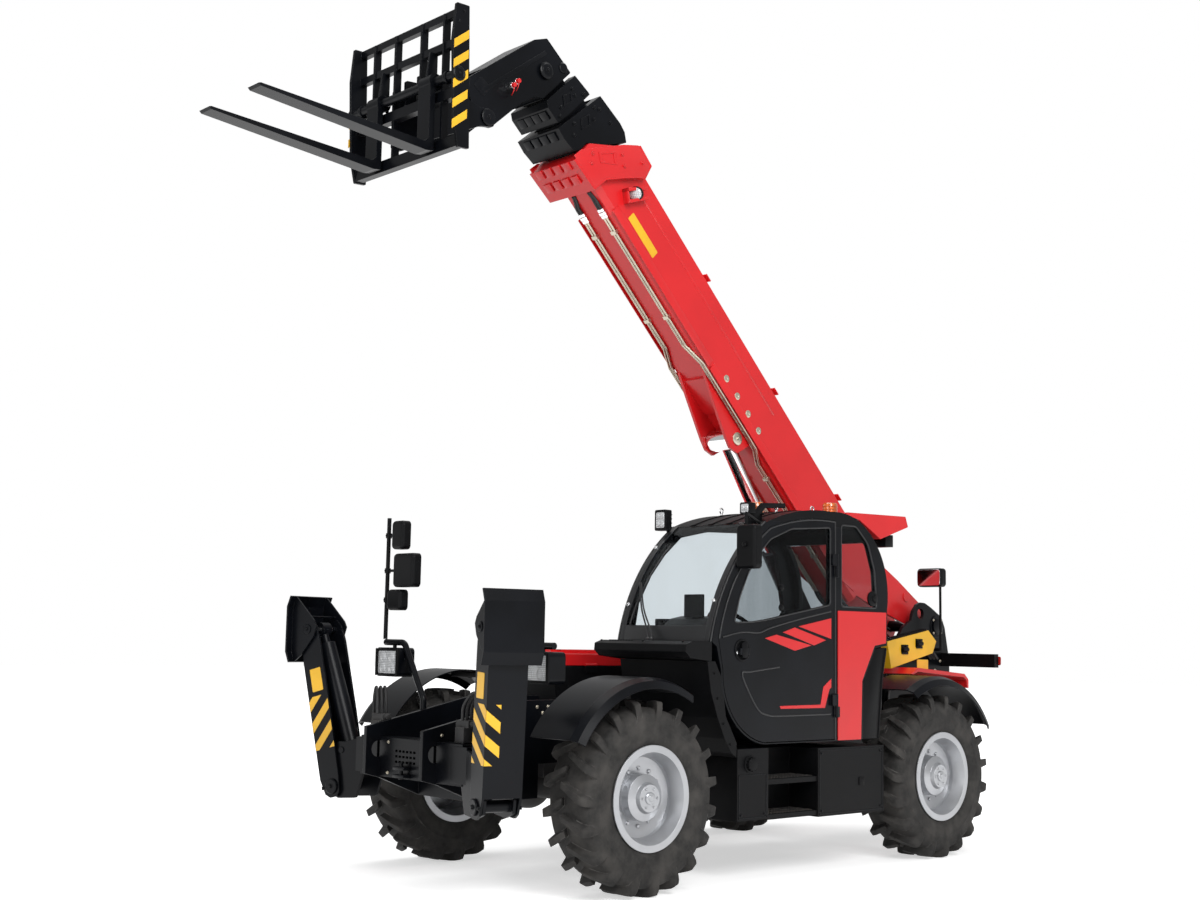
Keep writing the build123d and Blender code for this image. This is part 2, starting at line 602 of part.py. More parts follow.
def lamp_guards():
    """Head lamps on tube guards that rise from the nose plates; the right one carries the mirror post."""
    made = []
    x = GUARD_X
    for name, s in SIDES.items():
        y = FRAME_SIDE[name] + s * (FRAME_PLATE + 25)
        lamp_y = LAMP_Y[name]
        tube = [(x, y, 1080), (x, y, GUARD_KNEE[name]), (x, s * 640, GUARD_TOP),
                (x, lamp_y + s * 110, GUARD_TOP)]
        guard = bent_tube(tube, [60, 60], GUARD_TUBE_R)
        foot = box((x - 45, x + 45), sorted((y - s * 25, y)), (1060, 1130))
        drop = bar((x, lamp_y, GUARD_TOP), (x, lamp_y, 1500), 14)
        low, high = lamp_y - LAMP_HALF, lamp_y + LAMP_HALF
        shell = plate_x(polygon([(low, 1345), (high, 1345), (high, 1548), (low, 1548)], 30), x - 75, x + 60)
        made.append(joined([guard, foot, drop, shell]))
    return made


def mirror_shell(x, y, z):
    """One mirror housing between spans y and z, its back edges rounded."""
    shell = plate_x(polygon([(y[0], z[0]), (y[1], z[0]), (y[1], z[1]), (y[0], z[1])], MIRROR_ROUND), *x)
    edges = shell.edges().group_by(Axis.X)[-1]
    return fillet(edges, MIRROR_ROUND * 0.8)


def mirrors():
    """Mirror post with three mirrors on the right guard, the door mirror and the tail mirror."""
    x, y = GUARD_X, MIRROR_POST_Y
    right = [bar((x, y, GUARD_TOP + GUARD_TUBE_R + RUN_GAP), (x, y, 2475), 15)]
    for inner, outer, low, high in ((-795, -655, 2245, 2450), (-765, -520, 1975, 2215),
                                    (-830, -665, 1812, 1960)):
        right.append(mirror_shell((x - 35, x + 40), (inner, outer), (low, high)))
        right.append(bar((x, y, (low + high) / 2), (x, inner + 30, (low + high) / 2), 10))
    door_arm = bar((430, 1085, 2470), (725, 1210, 2520), 11) + bar((725, 1210, 2525), (725, 1210, 2420), 11)
    door_mirror = joined([door_arm, mirror_shell((700, 775), (1155, 1335), (2135, 2440))]) - cab_hull(RUN_GAP)
    stalk = bar((-2700, 410, 1600), (-2700, 410, 2240), 11)
    hook = bar((-2700, FRAME_SIDE["left"] + FRAME_PLATE, 1600), (-2700, 410, 1600), 14)
    tail = joined([stalk, hook, mirror_shell((-2715, -2640), (200, 460), (2143, 2306))])
    return [joined(right), door_mirror, tail]


def rear_lights():
    made = []
    for s in SIDES.values():
        y = (BOOM_Y + s * (FRAME_INNER + FRAME_PLATE), s * 840)
        made.append(box((-2930, -2870), sorted(y), (1455, 1570)))
    return made


def rear_covers():
    """Red covers over the rear wheels, beside the tower."""
    face = polygon([(-1850, 1400), (-1940, 1450), (-2600, 1400), (-2660, 1350), (-2660, 1280), (-2640, 1280),
                    (-2630, 1345),
                    (-2590, 1372), (-1940, 1418), (-1870, 1395)])
    return [plate_y(face, *sorted((BOOM_Y + s * (FRAME_INNER + FRAME_PLATE), s * 720))) for s in SIDES.values()]


def safety_prop():
    """Yellow channel that locks the lift cylinder, stored beside the tower, with two clamp windows."""
    face = polygon([(-1710, 1660), (-2280, 1760), (-2390, 1670), (-2340, 1570), (-1760, 1440)])
    prop = plate_y(face, PROP_Y, PROP_Y + 12) + plate_y(face - offset(face, -10), PROP_Y - 60, PROP_Y)
    for x, z in ((-2190, 1620), (-1990, 1570)):
        prop -= box((x, x + 95), (PROP_Y - 5, PROP_Y + 20), (z, z + 65))
    return prop


# ---------------------------------------------------------------- boom
BOOM_AT = Pos(PIVOT_X, BOOM_Y, PIVOT_Z) * Rot(0, -BOOM_DEG, 0)


def boom_point(u, v):
    """Place in (X, Z) of a point given along the boom and square to it, from the pivot."""
    c, s = math.cos(math.radians(BOOM_DEG)), math.sin(math.radians(BOOM_DEG))
    return PIVOT_X + u * c - v * s, PIVOT_Z + u * s + v * c


def tube_section(half, top, low, cut):
    return polygon([(-half, low + cut), (-half + cut, low), (half - cut, low), (half, low + cut),
                    (half, top - cut),
                    (half - cut, top), (-half + cut, top), (-half, top - cut)])


# boom sections: half width, top, low side, wall, rear end, front end
SECTIONS = {
    "base": dict(half=BOOM_HALF_W, top=BOOM_TOP, low=BOOM_LOW, wall=BOOM_WALL, rear=850.0, front=5080.0),
    "second": dict(half=164.0, top=-102.0, low=-560.0, wall=10.0, rear=900.0, front=5400.0),
    "third": dict(half=140.0, top=-150.0, low=-538.0, wall=10.0, rear=960.0, front=5640.0),
    "head": dict(half=116.0, top=-202.0, low=-518.0, wall=10.0, rear=1020.0, front=HEAD_END),
}


def section_tube(name):
    s = SECTIONS[name]
    outer = plate_x(tube_section(s["half"], s["top"], s["low"], 40), s["rear"], s["front"])
    inner = plate_x(tube_section(s["half"] - s["wall"], s["top"] - s["wall"], s["low"] + s["wall"], 36),
                    s["rear"] - 1, s["front"] + 1)
    return outer - inner


def from_front(front, points):
    """Points given as (distance past a section's front end, place square to the boom)."""
    return [(front + u, v) for u, v in points]


def collar(name, points, half):
    """Thick slanted collar round the front end of a section."""
    s = SECTIONS[name]
    hollow = tube_section(s["half"] - s["wall"], s["top"] - s["wall"], s["low"] + s["wall"], 36)
    ring = plate_y(polygon(from_front(s["front"], points)), -half, half)
    return ring - plate_x(hollow, s["front"] - 800, s["front"] + 800)


def boom_base():
    s = SECTIONS["base"]
    tube = section_tube("base")
    ear = polygon([(-105, -60), (-60, 80), (200, 100), (540, 20), (850, BOOM_TOP), (1400, BOOM_TOP - 60),
                   (1100, BOOM_LOW + 60),
                   (860, -500), (640, -400), (60, -105)], 30)
    room = plate_x(tube_section(s["half"] - s["wall"], s["top"] - s["wall"], s["low"] + s["wall"], 36),
                   s["rear"], 1500)
    ears = [plate_y(ear, *sorted((k * BOOM_HALF_W, k * (BOOM_HALF_W - 25)))) - room for k in (-1, 1)]
    hub = [bar_y(0, 0, *pair, 85) for pair in ((-FRAME_INNER + 2, -BOOM_HALF_W + 25),
                                               (BOOM_HALF_W - 25, FRAME_INNER - 2))]
    ring = collar("base", [(-212, -167), (-177, -40), (2, -31), (71, -158), (302, -474), (292, -690),
                           (20, -670),
                           (8, -513), (-159, -223)], 250)
    bracket_face = polygon([(3420, BOOM_LOW + 8), (3190, -650), (2830, -762), (2735, -782), (2650, -750),
                            (2620, -660),
                            (2600, BOOM_LOW + 8)], 8)
    bracket = [plate_y(bracket_face, *sorted((k * 118, k * 143))) for k in (-1, 1)]
    web = box((2960, 3300), (-118, 118), (-600, BOOM_LOW + 2)) & plate_y(bracket_face, -118, 118)
    body = joined([tube, ring, web] + ears + hub + bracket)
    body -= bar_y(0, 0, -400, 400, PIVOT_PIN_R + PIN_PLAY)
    body -= bar_y(LIFT_PIN_U, LIFT_PIN_V, -200, 200, LIFT_EYE_PIN_R + PIN_PLAY)
    for k in (-1, 1):
        body += bar_y(LEVEL_PIN_U, 0, *sorted((k * (BOOM_HALF_W - 25), k * (BOOM_HALF_W + 10))), 40)
    return body


def boom_pipes():
    """Two pairs of hydraulic pipes under the base section, bent round the lift bracket, with their clips."""
    made = []
    v = BOOM_LOW - 14
    for k in (-1, 1):
        tubes = []
        for gap in (0, 26):
            inner, outer = k * (92 + gap), k * (158 + gap)
            tubes.append(bent_tube([(4850, inner, v), (3620, inner, v), (3440, outer, v), (2560, outer, v),
                                    (2400, inner, v),
                                    (1000, inner, v)], 60, 9))
        clips = [box((u - 15, u + 15), sorted((k * 78, k * 132)),
                     (v - 14, BOOM_LOW)) for u in (4700, 3900, 2250, 1400)]
        made.append(joined(tubes + clips))
    return made


def wear_pads(outer, inner):
    """Pads fixed in the front of the outer section and on the rear of the inner one."""
    a, b = SECTIONS[outer], SECTIONS[inner]
    front, rear = a["front"] - 20, b["rear"]
    out_half, out_top, out_low = a["half"] - a["wall"], a["top"] - a["wall"], a["low"] + a["wall"]
    in_half, in_top, in_low = b["half"], b["top"], b["low"]
    fixed = [box((front - 160, front - 40), (-60, 60), (in_top + RUN_GAP, out_top)),
             box((front - 160, front - 40), (-60, 60), (out_low, in_low - RUN_GAP))]
    moving = [box((rear + 20, rear + 140), (-60, 60), (in_top, out_top - RUN_GAP)),
              box((rear + 20, rear + 140), (-60, 60), (out_low + RUN_GAP, in_low))]
    for k in (-1, 1):
        fixed.append(box((front - 160, front - 40), sorted((k * (in_half + RUN_GAP), k * out_half)),
                         (-400, -260)))
        moving.append(box((rear + 20, rear + 140), sorted((k * in_half, k * (out_half - RUN_GAP))),
                          (-400, -260)))
    return fixed, moving


def second_section():
    ring = collar("second", [(-226, -126), (-160, -85), (-84, -77), (175, -110), (221, -638), (131, -644),
                             (14, -625),
                             (-70, -420)], 230)
    base_front = from_front(SECTIONS["base"]["front"], [(-280, 0), (10, 0), (80, -158), (312, -474),
                                                        (302, -720),
                                                        (-280, -720)])
    ring -= plate_y(polygon(base_front), -300, 300)
    return joined([section_tube("second"), ring])


def third_section():
    ring = collar("third", [(-36, -175), (10, -170), (172, -200), (180, -568), (135, -595), (5, -590)], 205)
    second_front = SECTIONS["second"]["front"]
    ring -= box((second_front - 400, second_front + 232), (-300, 300), (-700, 0))
    return joined([section_tube("third"), ring])


def boom_head():
    """Last section with the drop head that carries the fork carriage."""
    face = polygon(from_front(HEAD_END, [(-40, -190), (265, -215), (320, -330), (427, -1030), (370, -1110),
                                         (210, -1190), (120, -1190), (65, -1130), (45, -760), (10, -610),
                                         (-40, -560)]), 12)
    plates = [plate_y(face, *sorted((k * 150, k * 170))) for k in (-1, 1)]
    wrap = plate_y(face - offset(face, -14), -150, 150)
    wrap -= box((HEAD_END + 20, HEAD_END + 520), (-150, 150), (-1300, -860))
    tube = section_tube("head")
    neck = box((HEAD_END - 45, HEAD_END - 20), (-150, 150), (-555, -195))
    neck -= plate_x(tube_section(106, -212, -508, 36), HEAD_END - 80, HEAD_END + 20)
    wrap -= plate_x(tube_section(106, -212, -508, 36), HEAD_END - 80, HEAD_END)
    pin = bar_y(TILT_PIN_U, TILT_PIN_V, -212, 212, TILT_PIN_R)
    base = bar_y(TILT_BASE_U, TILT_BASE_V, -180, 180, TILT_BASE_PIN_R)
    boss = [bar_y(TILT_BASE_U, TILT_BASE_V, *sorted((k * 150, k * 186)), 48) for k in (-1, 1)]
    return joined([tube, neck, wrap, pin, base] + plates + boss)


# ---------------------------------------------------------------- fork carriage, in world places at rest
TILT_X, TILT_Z = boom_point(TILT_PIN_U, TILT_PIN_V)
CARRIAGE_X = TILT_X + 510.0


def tilt_eye():
    return TILT_X + 20.0, TILT_Z + TILT_ARM


def carriage_frame():
    """Coupler lugs, two side plates, cross rails, uprights and the round fork shaft."""
    x = CARRIAGE_X
    eye_x, eye_z = tilt_eye()
    lug_face = polygon([(TILT_X - 60, TILT_Z - 55), (TILT_X + 60, TILT_Z - 75), (x - 60, TILT_Z - 260),
                        (x + 12, TILT_Z - 260),
                        (x + 12, TILT_Z + 160), (x - 60, TILT_Z + 160), (TILT_X + 70, TILT_Z + 60),
                        (TILT_X - 40, TILT_Z + 60)], 20)
    lugs = [plate_y(lug_face, *sorted((BOOM_Y + k * 176, BOOM_Y + k * 204))) for k in (-1, 1)]
    eye_face = polygon([(eye_x - 45, eye_z - 50), (eye_x + 20, eye_z - 60), (x, TILT_Z - 40), (x, TILT_Z + 200),
                        (eye_x + 60, eye_z + 50), (eye_x - 30, eye_z + 48)], 15)
    eyes = [plate_y(eye_face, *sorted((BOOM_Y + k * 62, BOOM_Y + k * 84))) for k in (-1, 1)]
    side_face = polygon([(x + 8, 5747), (x + 112, 5744), (x + 135, 5500), (x + 110, 4950), (x + 70, 4780),
                         (x - 20, 4785)], 8)
    sides = [plate_y(side_face, *sorted((k * CARRIAGE_HALF_W, k * (CARRIAGE_HALF_W - 22)))) for k in (-1, 1)]
    # rails: bottom, top, thickness along X
    rails = [(4790, 4870, 60), (5130, 5200, 60), (5490, 5540, 45), (5690, 5740, 45)]
    half = CARRIAGE_HALF_W - 20
    bars = [box((x + 12, x + 12 + t), (-half, half), (low, high)) for low, high, t in rails]
    uprights = [box((x + 12, x + 66), (y - 9, y + 9), (4800, 5735)) for y in (-400, -150, 150, 400)]
    shaft = bar_y(x + 85, 5269, -CARRIAGE_HALF_W - 12, CARRIAGE_HALF_W + 12, FORK_SHAFT_R)
    body = joined(lugs + eyes + sides + bars + uprights + [shaft])
    return body - bar_y(TILT_X, TILT_Z, -400, 400, TILT_PIN_R + PIN_PLAY)


def forks():
    """Two L forks hung on the shaft."""
    x = CARRIAGE_X + 85
    made = []
    for s in (-1, 1):
        y = (s * FORK_Y - FORK_WIDTH / 2, s * FORK_Y + FORK_WIDTH / 2)
        shank = box((x + 5, x + 50), y, (4830, 5230))
        eye = ring_y(x, 5269, *y, FORK_SHAFT_R + 25, FORK_SHAFT_R + PIN_PLAY)
        neck = box((x + 20, x + 50), y, (5220, 5290)) - bar_y(x, 5269, y[0] - 5, y[1] + 5,
                                                              FORK_SHAFT_R + PIN_PLAY)
        blade = plate_y(polygon([(x + 5, 4800), (x + 60, 4792), (x + FORK_LENGTH, 4905),
                                 (x + FORK_LENGTH + 15, 4920),
                                 (x + FORK_LENGTH, 4925), (x + 75, 4851.5), (x + 50, 4876), (x + 5, 4876)]), *y)
        made.append(joined([shank, eye, neck, blade]))
    return made


# ---------------------------------------------------------------- hydraulic cylinders
def cylinder(base, eye, across, barrel, rod, base_eye, rod_eye):
    """Barrel and rod on the line between two pins.

    barrel: radius, length from the base pin, travel outwards from rest; rod: radius; each eye: radius,
    half width, bore or None, half length of its own pin or None, pin radius.
    """
    a, b = Vector(*base), Vector(*eye)
    run = b - a
    d = run.normalized()
    radius, length, travel = barrel
    lie = Plane(origin=a, x_dir=d, z_dir=across)
    start = base_eye[0] * 0.85
    room_end = length - CYLINDER_END
    piston = room_end - travel - 8
    body = bar(a + d * start, a + d * length, radius) + lie * Cylinder(base_eye[0], 2 * base_eye[1])
    body -= bar(a + d * (start + PISTON), a + d * room_end, radius - 12)
    body -= bar(a + d * (room_end - 5), a + d * (length + 5), rod + PIN_PLAY)
    stem = bar(a + d * (piston - 5), b - d * (rod_eye[0] * 0.5), rod)
    stem += bar(a + d * (piston - PISTON), a + d * piston, radius - 12 - PIN_PLAY)
    tip = lie * Pos(run.length, 0, 0)
    stem += tip * Cylinder(rod_eye[0], 2 * rod_eye[1])
    made = []
    for solid, place, eye_size in ((body, lie, base_eye), (stem, tip, rod_eye)):
        bore, pin_half, pin_r = eye_size[2:]
        if bore:
            solid -= place * Cylinder(bore, 4 * eye_size[1])
        if pin_half:
            solid += place * Cylinder(pin_r, 2 * pin_half)
        made.append(solid)
    return made


def lift_cylinder():
    x, z = boom_point(LIFT_PIN_U, LIFT_PIN_V)
    return cylinder((LIFT_BASE_X, BOOM_Y, LIFT_BASE_Z), (x, BOOM_Y, z), (0, 1, 0),
                    (LIFT_BARREL_R, 1640, LIFT_TRAVEL), LIFT_ROD_R,
                    (85, 70, None, 229.7, 38), (88, 112, None, 150, LIFT_EYE_PIN_R))


def level_cylinder():
    x, z = boom_point(LEVEL_PIN_U, 0)
    return cylinder((LEVEL_BASE_X, BOOM_Y, LEVEL_BASE_Z), (x, BOOM_Y, z), (0, 1, 0),
                    (LEVEL_BARREL_R, 575, LEVEL_TRAVEL), LEVEL_ROD_R,
                    (42, 45, LEVEL_BASE_PIN_R + PIN_PLAY, None, 0), (42, 45, None, BOOM_HALF_W - 25.3, 22))


def tilt_cylinder():
    base = boom_point(TILT_BASE_U, TILT_BASE_V)
    eye = tilt_eye()
    return cylinder((base[0], BOOM_Y, base[1]), (eye[0], BOOM_Y, eye[1]), (0, 1, 0), (55, 455, TILT_TRAVEL), 32,
                    (50, 50, TILT_BASE_PIN_R + PIN_PLAY, None, 0), (42, 50, None, 61.7, 24))


# ---------------------------------------------------------------- stabilizers
def leg_top(side):
    """Pin of the pad in the leg's plane, as (outwards, up) from the pivot."""
    lean = math.radians(LEG_LEAN[side])
    return LEG_LENGTH * math.sin(lean), LEG_LENGTH * math.cos(lean)


def leg_point(side, out, up):
    """Place on the machine of a point in the leg's plane."""
    turn = math.radians(LEG_SPLAY)
    return (LEG_X + out * math.sin(turn), SIDES[side] * (LEG_PIVOT_Y + out * math.cos(turn)), LEG_PIVOT_Z + up)


def in_leg_plane(shape, side):
    """Bring a shape made about a left leg's pivot to its side."""
    shape = Pos(LEG_X, LEG_PIVOT_Y, LEG_PIVOT_Z) * Rot(0, 0, -LEG_SPLAY) * shape
    return shape if SIDES[side] > 0 else mirrored(shape)


def stabilizer_beam():
    """Cross beam on the chassis nose, with an ear bracket and its pins at each end."""
    beam = box(BEAM_X, (-BEAM_REACH, BEAM_REACH), BEAM_Z)
    beam -= box((BEAM_X[0] + 12, BEAM_X[1] - 12), (-BEAM_REACH - 5, BEAM_REACH + 5),
                (BEAM_Z[0] + 12, BEAM_Z[1] - 12))
    for name, inner in FRAME_SIDE.items():
        beam -= box((BEAM_X[0] - 50, BEAM_X[1] + 50), sorted((inner, inner + SIDES[name] * FRAME_PLATE)),
                    (0, 2000))
    beam -= [box((BEAM_X[1] - 20, BEAM_X[1] + 10), (y, y + 26), (z, z + 14))
             for y in range(-160, 80, 40) for z in (800, 835, 870)]
    ear = polygon([(-262, 112), (-200, -66), (-40, -78), (66, -44), (78, 40), (18, 262), (-20, 305), (-90, 305),
                   (-262, 350)], 20)
    made = [beam]
    for side, s in SIDES.items():
        bracket = [plate_x(ear, *sorted((k * EAR_HALF_X, k * (EAR_HALF_X - EAR_PLATE)))) for k in (-1, 1)]
        bracket.append(bar_x(0, 0, -LEG_HALF_X - 12, LEG_HALF_X + 12, LEG_PIN_R))
        bracket.append(bar_x(*STAB_BASE, -EAR_HALF_X - 8, EAR_HALF_X + 8, STAB_PIN_R))
        made += [in_leg_plane(solid, side) for solid in bracket]
        turn = math.radians(LEG_SPLAY)
        ends = [(LEG_X + k * EAR_HALF_X * math.cos(turn) - 190 * math.sin(turn),
                 LEG_PIVOT_Y - k * EAR_HALF_X * math.sin(turn) - 190 * math.cos(turn)) for k in (1, -1)]
        root = polygon([(BEAM_X[0], BEAM_REACH - 120), (BEAM_X[1], BEAM_REACH - 120)] + ends)
        block = plate_z(root, BEAM_Z[0] + 15, BEAM_Z[1] - 15)
        made.append(block if s > 0 else mirrored(block))
    return joined(made)


def stabilizer_leg(side):
    """Leg of two plates with an outer web, open inwards for its cylinder, and the pins of its pad."""
    knee, top = LEG_LENGTH - 220, LEG_LENGTH + 62
    outline = [(-60, -45), (-30, -74), (30, -74), (70, -45), (100, 60), (100, knee), (84, top - 162),
               (66, top - 52),
               (24, top), (-30, top), (-66, top - 52), (-78, top - 162), (-80, 500), (-72, 60)]
    face = polygon(outline, 14)
    plates = [plate_x(face, *sorted((k * LEG_HALF_X, k * (LEG_HALF_X - LEG_PLATE)))) for k in (-1, 1)]
    web = box((5 - LEG_HALF_X, LEG_HALF_X - 5), (88, 100), (60, knee))
    body = joined(plates + [web])
    for k in (-1, 1):
        body += bar_x(0, LEG_LENGTH, *sorted((k * (LEG_HALF_X - 42), k * (GUSSET_HALF_X + 10))), PAD_PIN_R)
    body -= bar_x(0, 0, -LEG_HALF_X - 50, LEG_HALF_X + 50, LEG_PIN_R + PIN_PLAY)
    return in_leg_plane(Rot(-LEG_LEAN[side], 0, 0) * body, side)


def stabilizer_pad(side):
    """Foot pad, hanging plumb: bent sole, two gussets down to the leg's pins and a tie bar between them."""
    half, flat, t = PAD_WIDTH / 2, PAD_HEIGHT / 2, PAD_REACH
    lip = flat + PAD_LIP
    sole = polygon([(t - 30, -lip), (t - 17, -lip - 4), (t + 14, -flat), (t + 14, flat), (t - 17, lip + 4),
                    (t - 30, lip),
                    (t, flat), (t, -flat)])
    gusset = polygon([(t + 2, -flat), (t - 32, 4 - lip), (58, -185), (-60, -50), (-84, 20), (-62, 62),
                      (t - 32, lip - 4),
                      (t + 2, flat)])
    body = [plate_x(sole, -half, half)]
    body += [plate_x(gusset, *sorted((k * GUSSET_HALF_X, k * (GUSSET_HALF_X - 12)))) for k in (-1, 1)]
    body.append(bar_x(34, 88, -GUSSET_HALF_X, GUSSET_HALF_X, 7))
    pad = joined(body) - bar_x(0, 0, -half, half, PAD_PIN_R + PIN_PLAY)
    return in_leg_plane(Pos(0, *leg_top(side)) * pad, side)


def stabilizer_cylinder(side):
    made = cylinder((0, *STAB_BASE), (0, *leg_top(side)), (1, 0, 0), (STAB_BARREL_R, 770, LEG_TRAVEL),
                    STAB_ROD_R,
                    (46, 40, STAB_PIN_R + PIN_PLAY, None, 0), (50, 40, None, 80, 20))
    return [in_leg_plane(solid, side) for solid in made]


# ---------------------------------------------------------------- the pieces
def solids_of(shape):
    if isinstance(shape, (list, tuple)):
        return [solid for item in shape for solid in solids_of(item)]
    return list(shape.solids())


def pieces():
    """Every sub-part, by name."""
    made = {}
    made["chassis_frame"] = chassis_frame()
    made["counterweight"] = counterweight()
    made["stabilizer_beam"] = stabilizer_beam()
    for end in AXLES:
        made[f"{end}_axle"] = axle(end)
    made["engine_block"] = engine_block()
    made["engine_pod"] = engine_pod()
    made["engine_lid"] = engine_lid()
    shell = cab_shell()
    belt = box((-2000, 2000), (0, 2000), (0, CAB_BELT))
    crown = box((-2000, 2000), (0, 2000), (2490, 3000))
    made["cab_body"] = shell & belt
    made["cab_frame"] = shell - belt - crown
    made["cab_roof"] = shell & crown
    made["cab_quarter_panel"] = quarter_panel()
    made["cab_glass"] = cab_glass()
    made["seat"] = seat()
    made["cab_controls"] = cab_controls()
    made["cowl"] = cowl()
    made["step_box"] = [step_box()] + cab_mounts()
    made["roof_visor"] = roof_visor()
    made["lamps"] = lamps()
    made["lamp_guards"] = lamp_guards()
    made["mirrors"] = mirrors()
    made["rear_lights"] = rear_lights()
    made["rear_covers"] = rear_covers()
    made["safety_prop"] = safety_prop()
    made["door"] = door()
    made["door_glass"] = door_glass()
    round_tyre, round_rim = tyre(), rim()
    for end, x in AXLES.items():
        for side, s in SIDES.items():
            corner = f"{end}_{side}"
            made[f"knuckle_{corner}"] = knuckle(end, side)
            place = Pos(x, s * TRACK / 2, TYRE_R)
            made[f"tyre_{corner}"] = place * round_tyre
            made[f"rim_{corner}"] = place * (round_rim if s > 0 else mirrored(round_rim))
    base_pads, second_pads = wear_pads("base", "second")
    second_fixed, third_pads = wear_pads("second", "third")
    third_fixed, head_pads = wear_pads("third", "head")
    made["boom_base"] = BOOM_AT * joined([boom_base()] + base_pads)
    made["boom_pipes"] = [BOOM_AT * pipe for pipe in boom_pipes()]
    made["boom_second"] = BOOM_AT * joined([second_section()] + second_pads + second_fixed)
    made["boom_third"] = BOOM_AT * joined([third_section()] + third_pads + third_fixed)
    made["boom_head"] = BOOM_AT * joined([boom_head()] + head_pads)
    made["carriage_frame"] = carriage_frame()
    made["forks"] = forks()
    made["lift_barrel"], made["lift_rod"] = lift_cylinder()
    made["level_barrel"], made["level_rod"] = level_cylinder()
    made["tilt_barrel"], made["tilt_rod"] = tilt_cylinder()
    for side in SIDES:
        made[f"leg_{side}"] = stabilizer_leg(side)
        made[f"pad_{side}"] = stabilizer_pad(side)
        made[f"leg_barrel_{side}"], made[f"leg_rod_{side}"] = stabilizer_cylinder(side)
    return {name: solids_of(shape) for name, shape in made.items()}


def shift(parts):
    """Move that puts the origin under the middle of everything."""
    whole = Compound([solid for solids in parts.values() for solid in solids]).bounding_box()
    return Pos(-(whole.min.X + whole.max.X) / 2, -(whole.min.Y + whole.max.Y) / 2, -whole.min.Z)


PARTS = pieces()
SHIFT = shift(PARTS)
os.makedirs("parts", exist_ok=True)
for node, solids in PARTS.items():
    moved = [SHIFT * solid for solid in solids]
    export_step(Compound(moved) if len(moved) > 1 else moved[0], f"parts/{node}.step")
print("nodes", len(PARTS), "shift", SHIFT.position)
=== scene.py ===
"""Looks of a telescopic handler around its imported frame: paint, rubber, glass, fittings, light and camera."""
import json
import math

import bmesh
import bpy
from mathutils import Matrix, Vector


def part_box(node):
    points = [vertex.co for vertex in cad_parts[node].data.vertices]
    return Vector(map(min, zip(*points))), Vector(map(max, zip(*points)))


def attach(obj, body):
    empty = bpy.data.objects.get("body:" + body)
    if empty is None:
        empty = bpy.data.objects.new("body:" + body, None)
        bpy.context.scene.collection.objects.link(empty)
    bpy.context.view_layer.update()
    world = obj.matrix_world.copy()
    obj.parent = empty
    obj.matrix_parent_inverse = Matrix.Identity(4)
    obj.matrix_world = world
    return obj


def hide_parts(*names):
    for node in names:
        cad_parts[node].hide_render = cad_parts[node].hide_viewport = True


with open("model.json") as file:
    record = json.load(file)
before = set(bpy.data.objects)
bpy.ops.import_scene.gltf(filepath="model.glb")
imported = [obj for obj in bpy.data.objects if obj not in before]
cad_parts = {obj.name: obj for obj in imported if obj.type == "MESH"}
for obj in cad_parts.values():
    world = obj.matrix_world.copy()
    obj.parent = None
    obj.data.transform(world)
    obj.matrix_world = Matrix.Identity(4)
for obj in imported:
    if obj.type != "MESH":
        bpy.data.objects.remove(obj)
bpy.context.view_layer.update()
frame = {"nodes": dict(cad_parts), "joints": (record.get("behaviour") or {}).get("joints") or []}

JOINTS = {joint["name"]: joint for joint in frame["joints"]}
SIDES = {"left": 1, "right": -1}
UP = Vector((0, 0, 1))


def axes(x, y, z, at):
    """Frame with three directions at a place."""
    return Matrix([(x[k], y[k], z[k], at[k]) for k in range(3)] + [(0, 0, 0, 1)])


# ---------------------------------------------------------------- places taken from the frame
BOOM_OUT = Vector(JOINTS["boom_slide_second"]["axis"]).normalized()
BOOM_FRAME = axes(BOOM_OUT, (0, 1, 0), (-BOOM_OUT.z, 0, BOOM_OUT.x), JOINTS["boom_lift"]["pos_m"])
WHEELS = {f"{end}_{side}": Vector(JOINTS[f"spin_{end}_{side}"]["pos_m"])
          for end in ("front", "rear") for side in SIDES}
WHEEL_HEIGHT = 0.625
HOME = sum(WHEELS.values(), Vector()) / 4 - WHEEL_HEIGHT * UP
MACHINE = Matrix.Translation(HOME)


# ---------------------------------------------------------------- shader nodes and groups
def fill(tree, made, inputs):
    """Wire each named input of a node to a socket, or give it a plain value."""
    for key, value in inputs.items():
        socket = made.inputs[key]
        if isinstance(value, bpy.types.NodeSocket):
            tree.links.new(value, socket)
        elif value is not None:
            socket.default_value = (*value, 1) if socket.type == "RGBA" else value
    return made


def add_node(tree, kind, inputs=None, **settings):
    made = tree.nodes.new("ShaderNode" + kind)
    for key, value in settings.items():
        setattr(made, key, value)
    return fill(tree, made, inputs or {})


def math_node(tree, operation, a, b=None, clamp=False):
    return add_node(tree, "Math", {0: a, 1: b}, operation=operation, use_clamp=clamp).outputs[0]


def times(tree, a, b, clamp=False):
    return math_node(tree, "MULTIPLY", a, b, clamp)


def plus(tree, a, b, clamp=False):
    return math_node(tree, "ADD", a, b, clamp)


def ramp(tree, source, low, high):
    """Smooth step of a value from 0 at low to 1 at high."""
    return add_node(tree, "MapRange", {"Value": source, "From Min": low, "From Max": high},
                    interpolation_type="SMOOTHSTEP").outputs["Result"]


MIX_SHARE, MIX_A, MIX_B, MIX_RESULT = 0, 6, 7, 2    # colour sockets of the mix node


def mix_colours(tree, share, a, b):
    return add_node(tree, "Mix", {MIX_SHARE: share, MIX_A: a, MIX_B: b}, data_type="RGBA").outputs[MIX_RESULT]


def noise(tree, vector, scale, detail=4.0, rough=0.55):
    inputs = {"Vector": vector, "Scale": scale, "Detail": detail, "Roughness": rough}
    return add_node(tree, "TexNoise", inputs).outputs["Fac"]


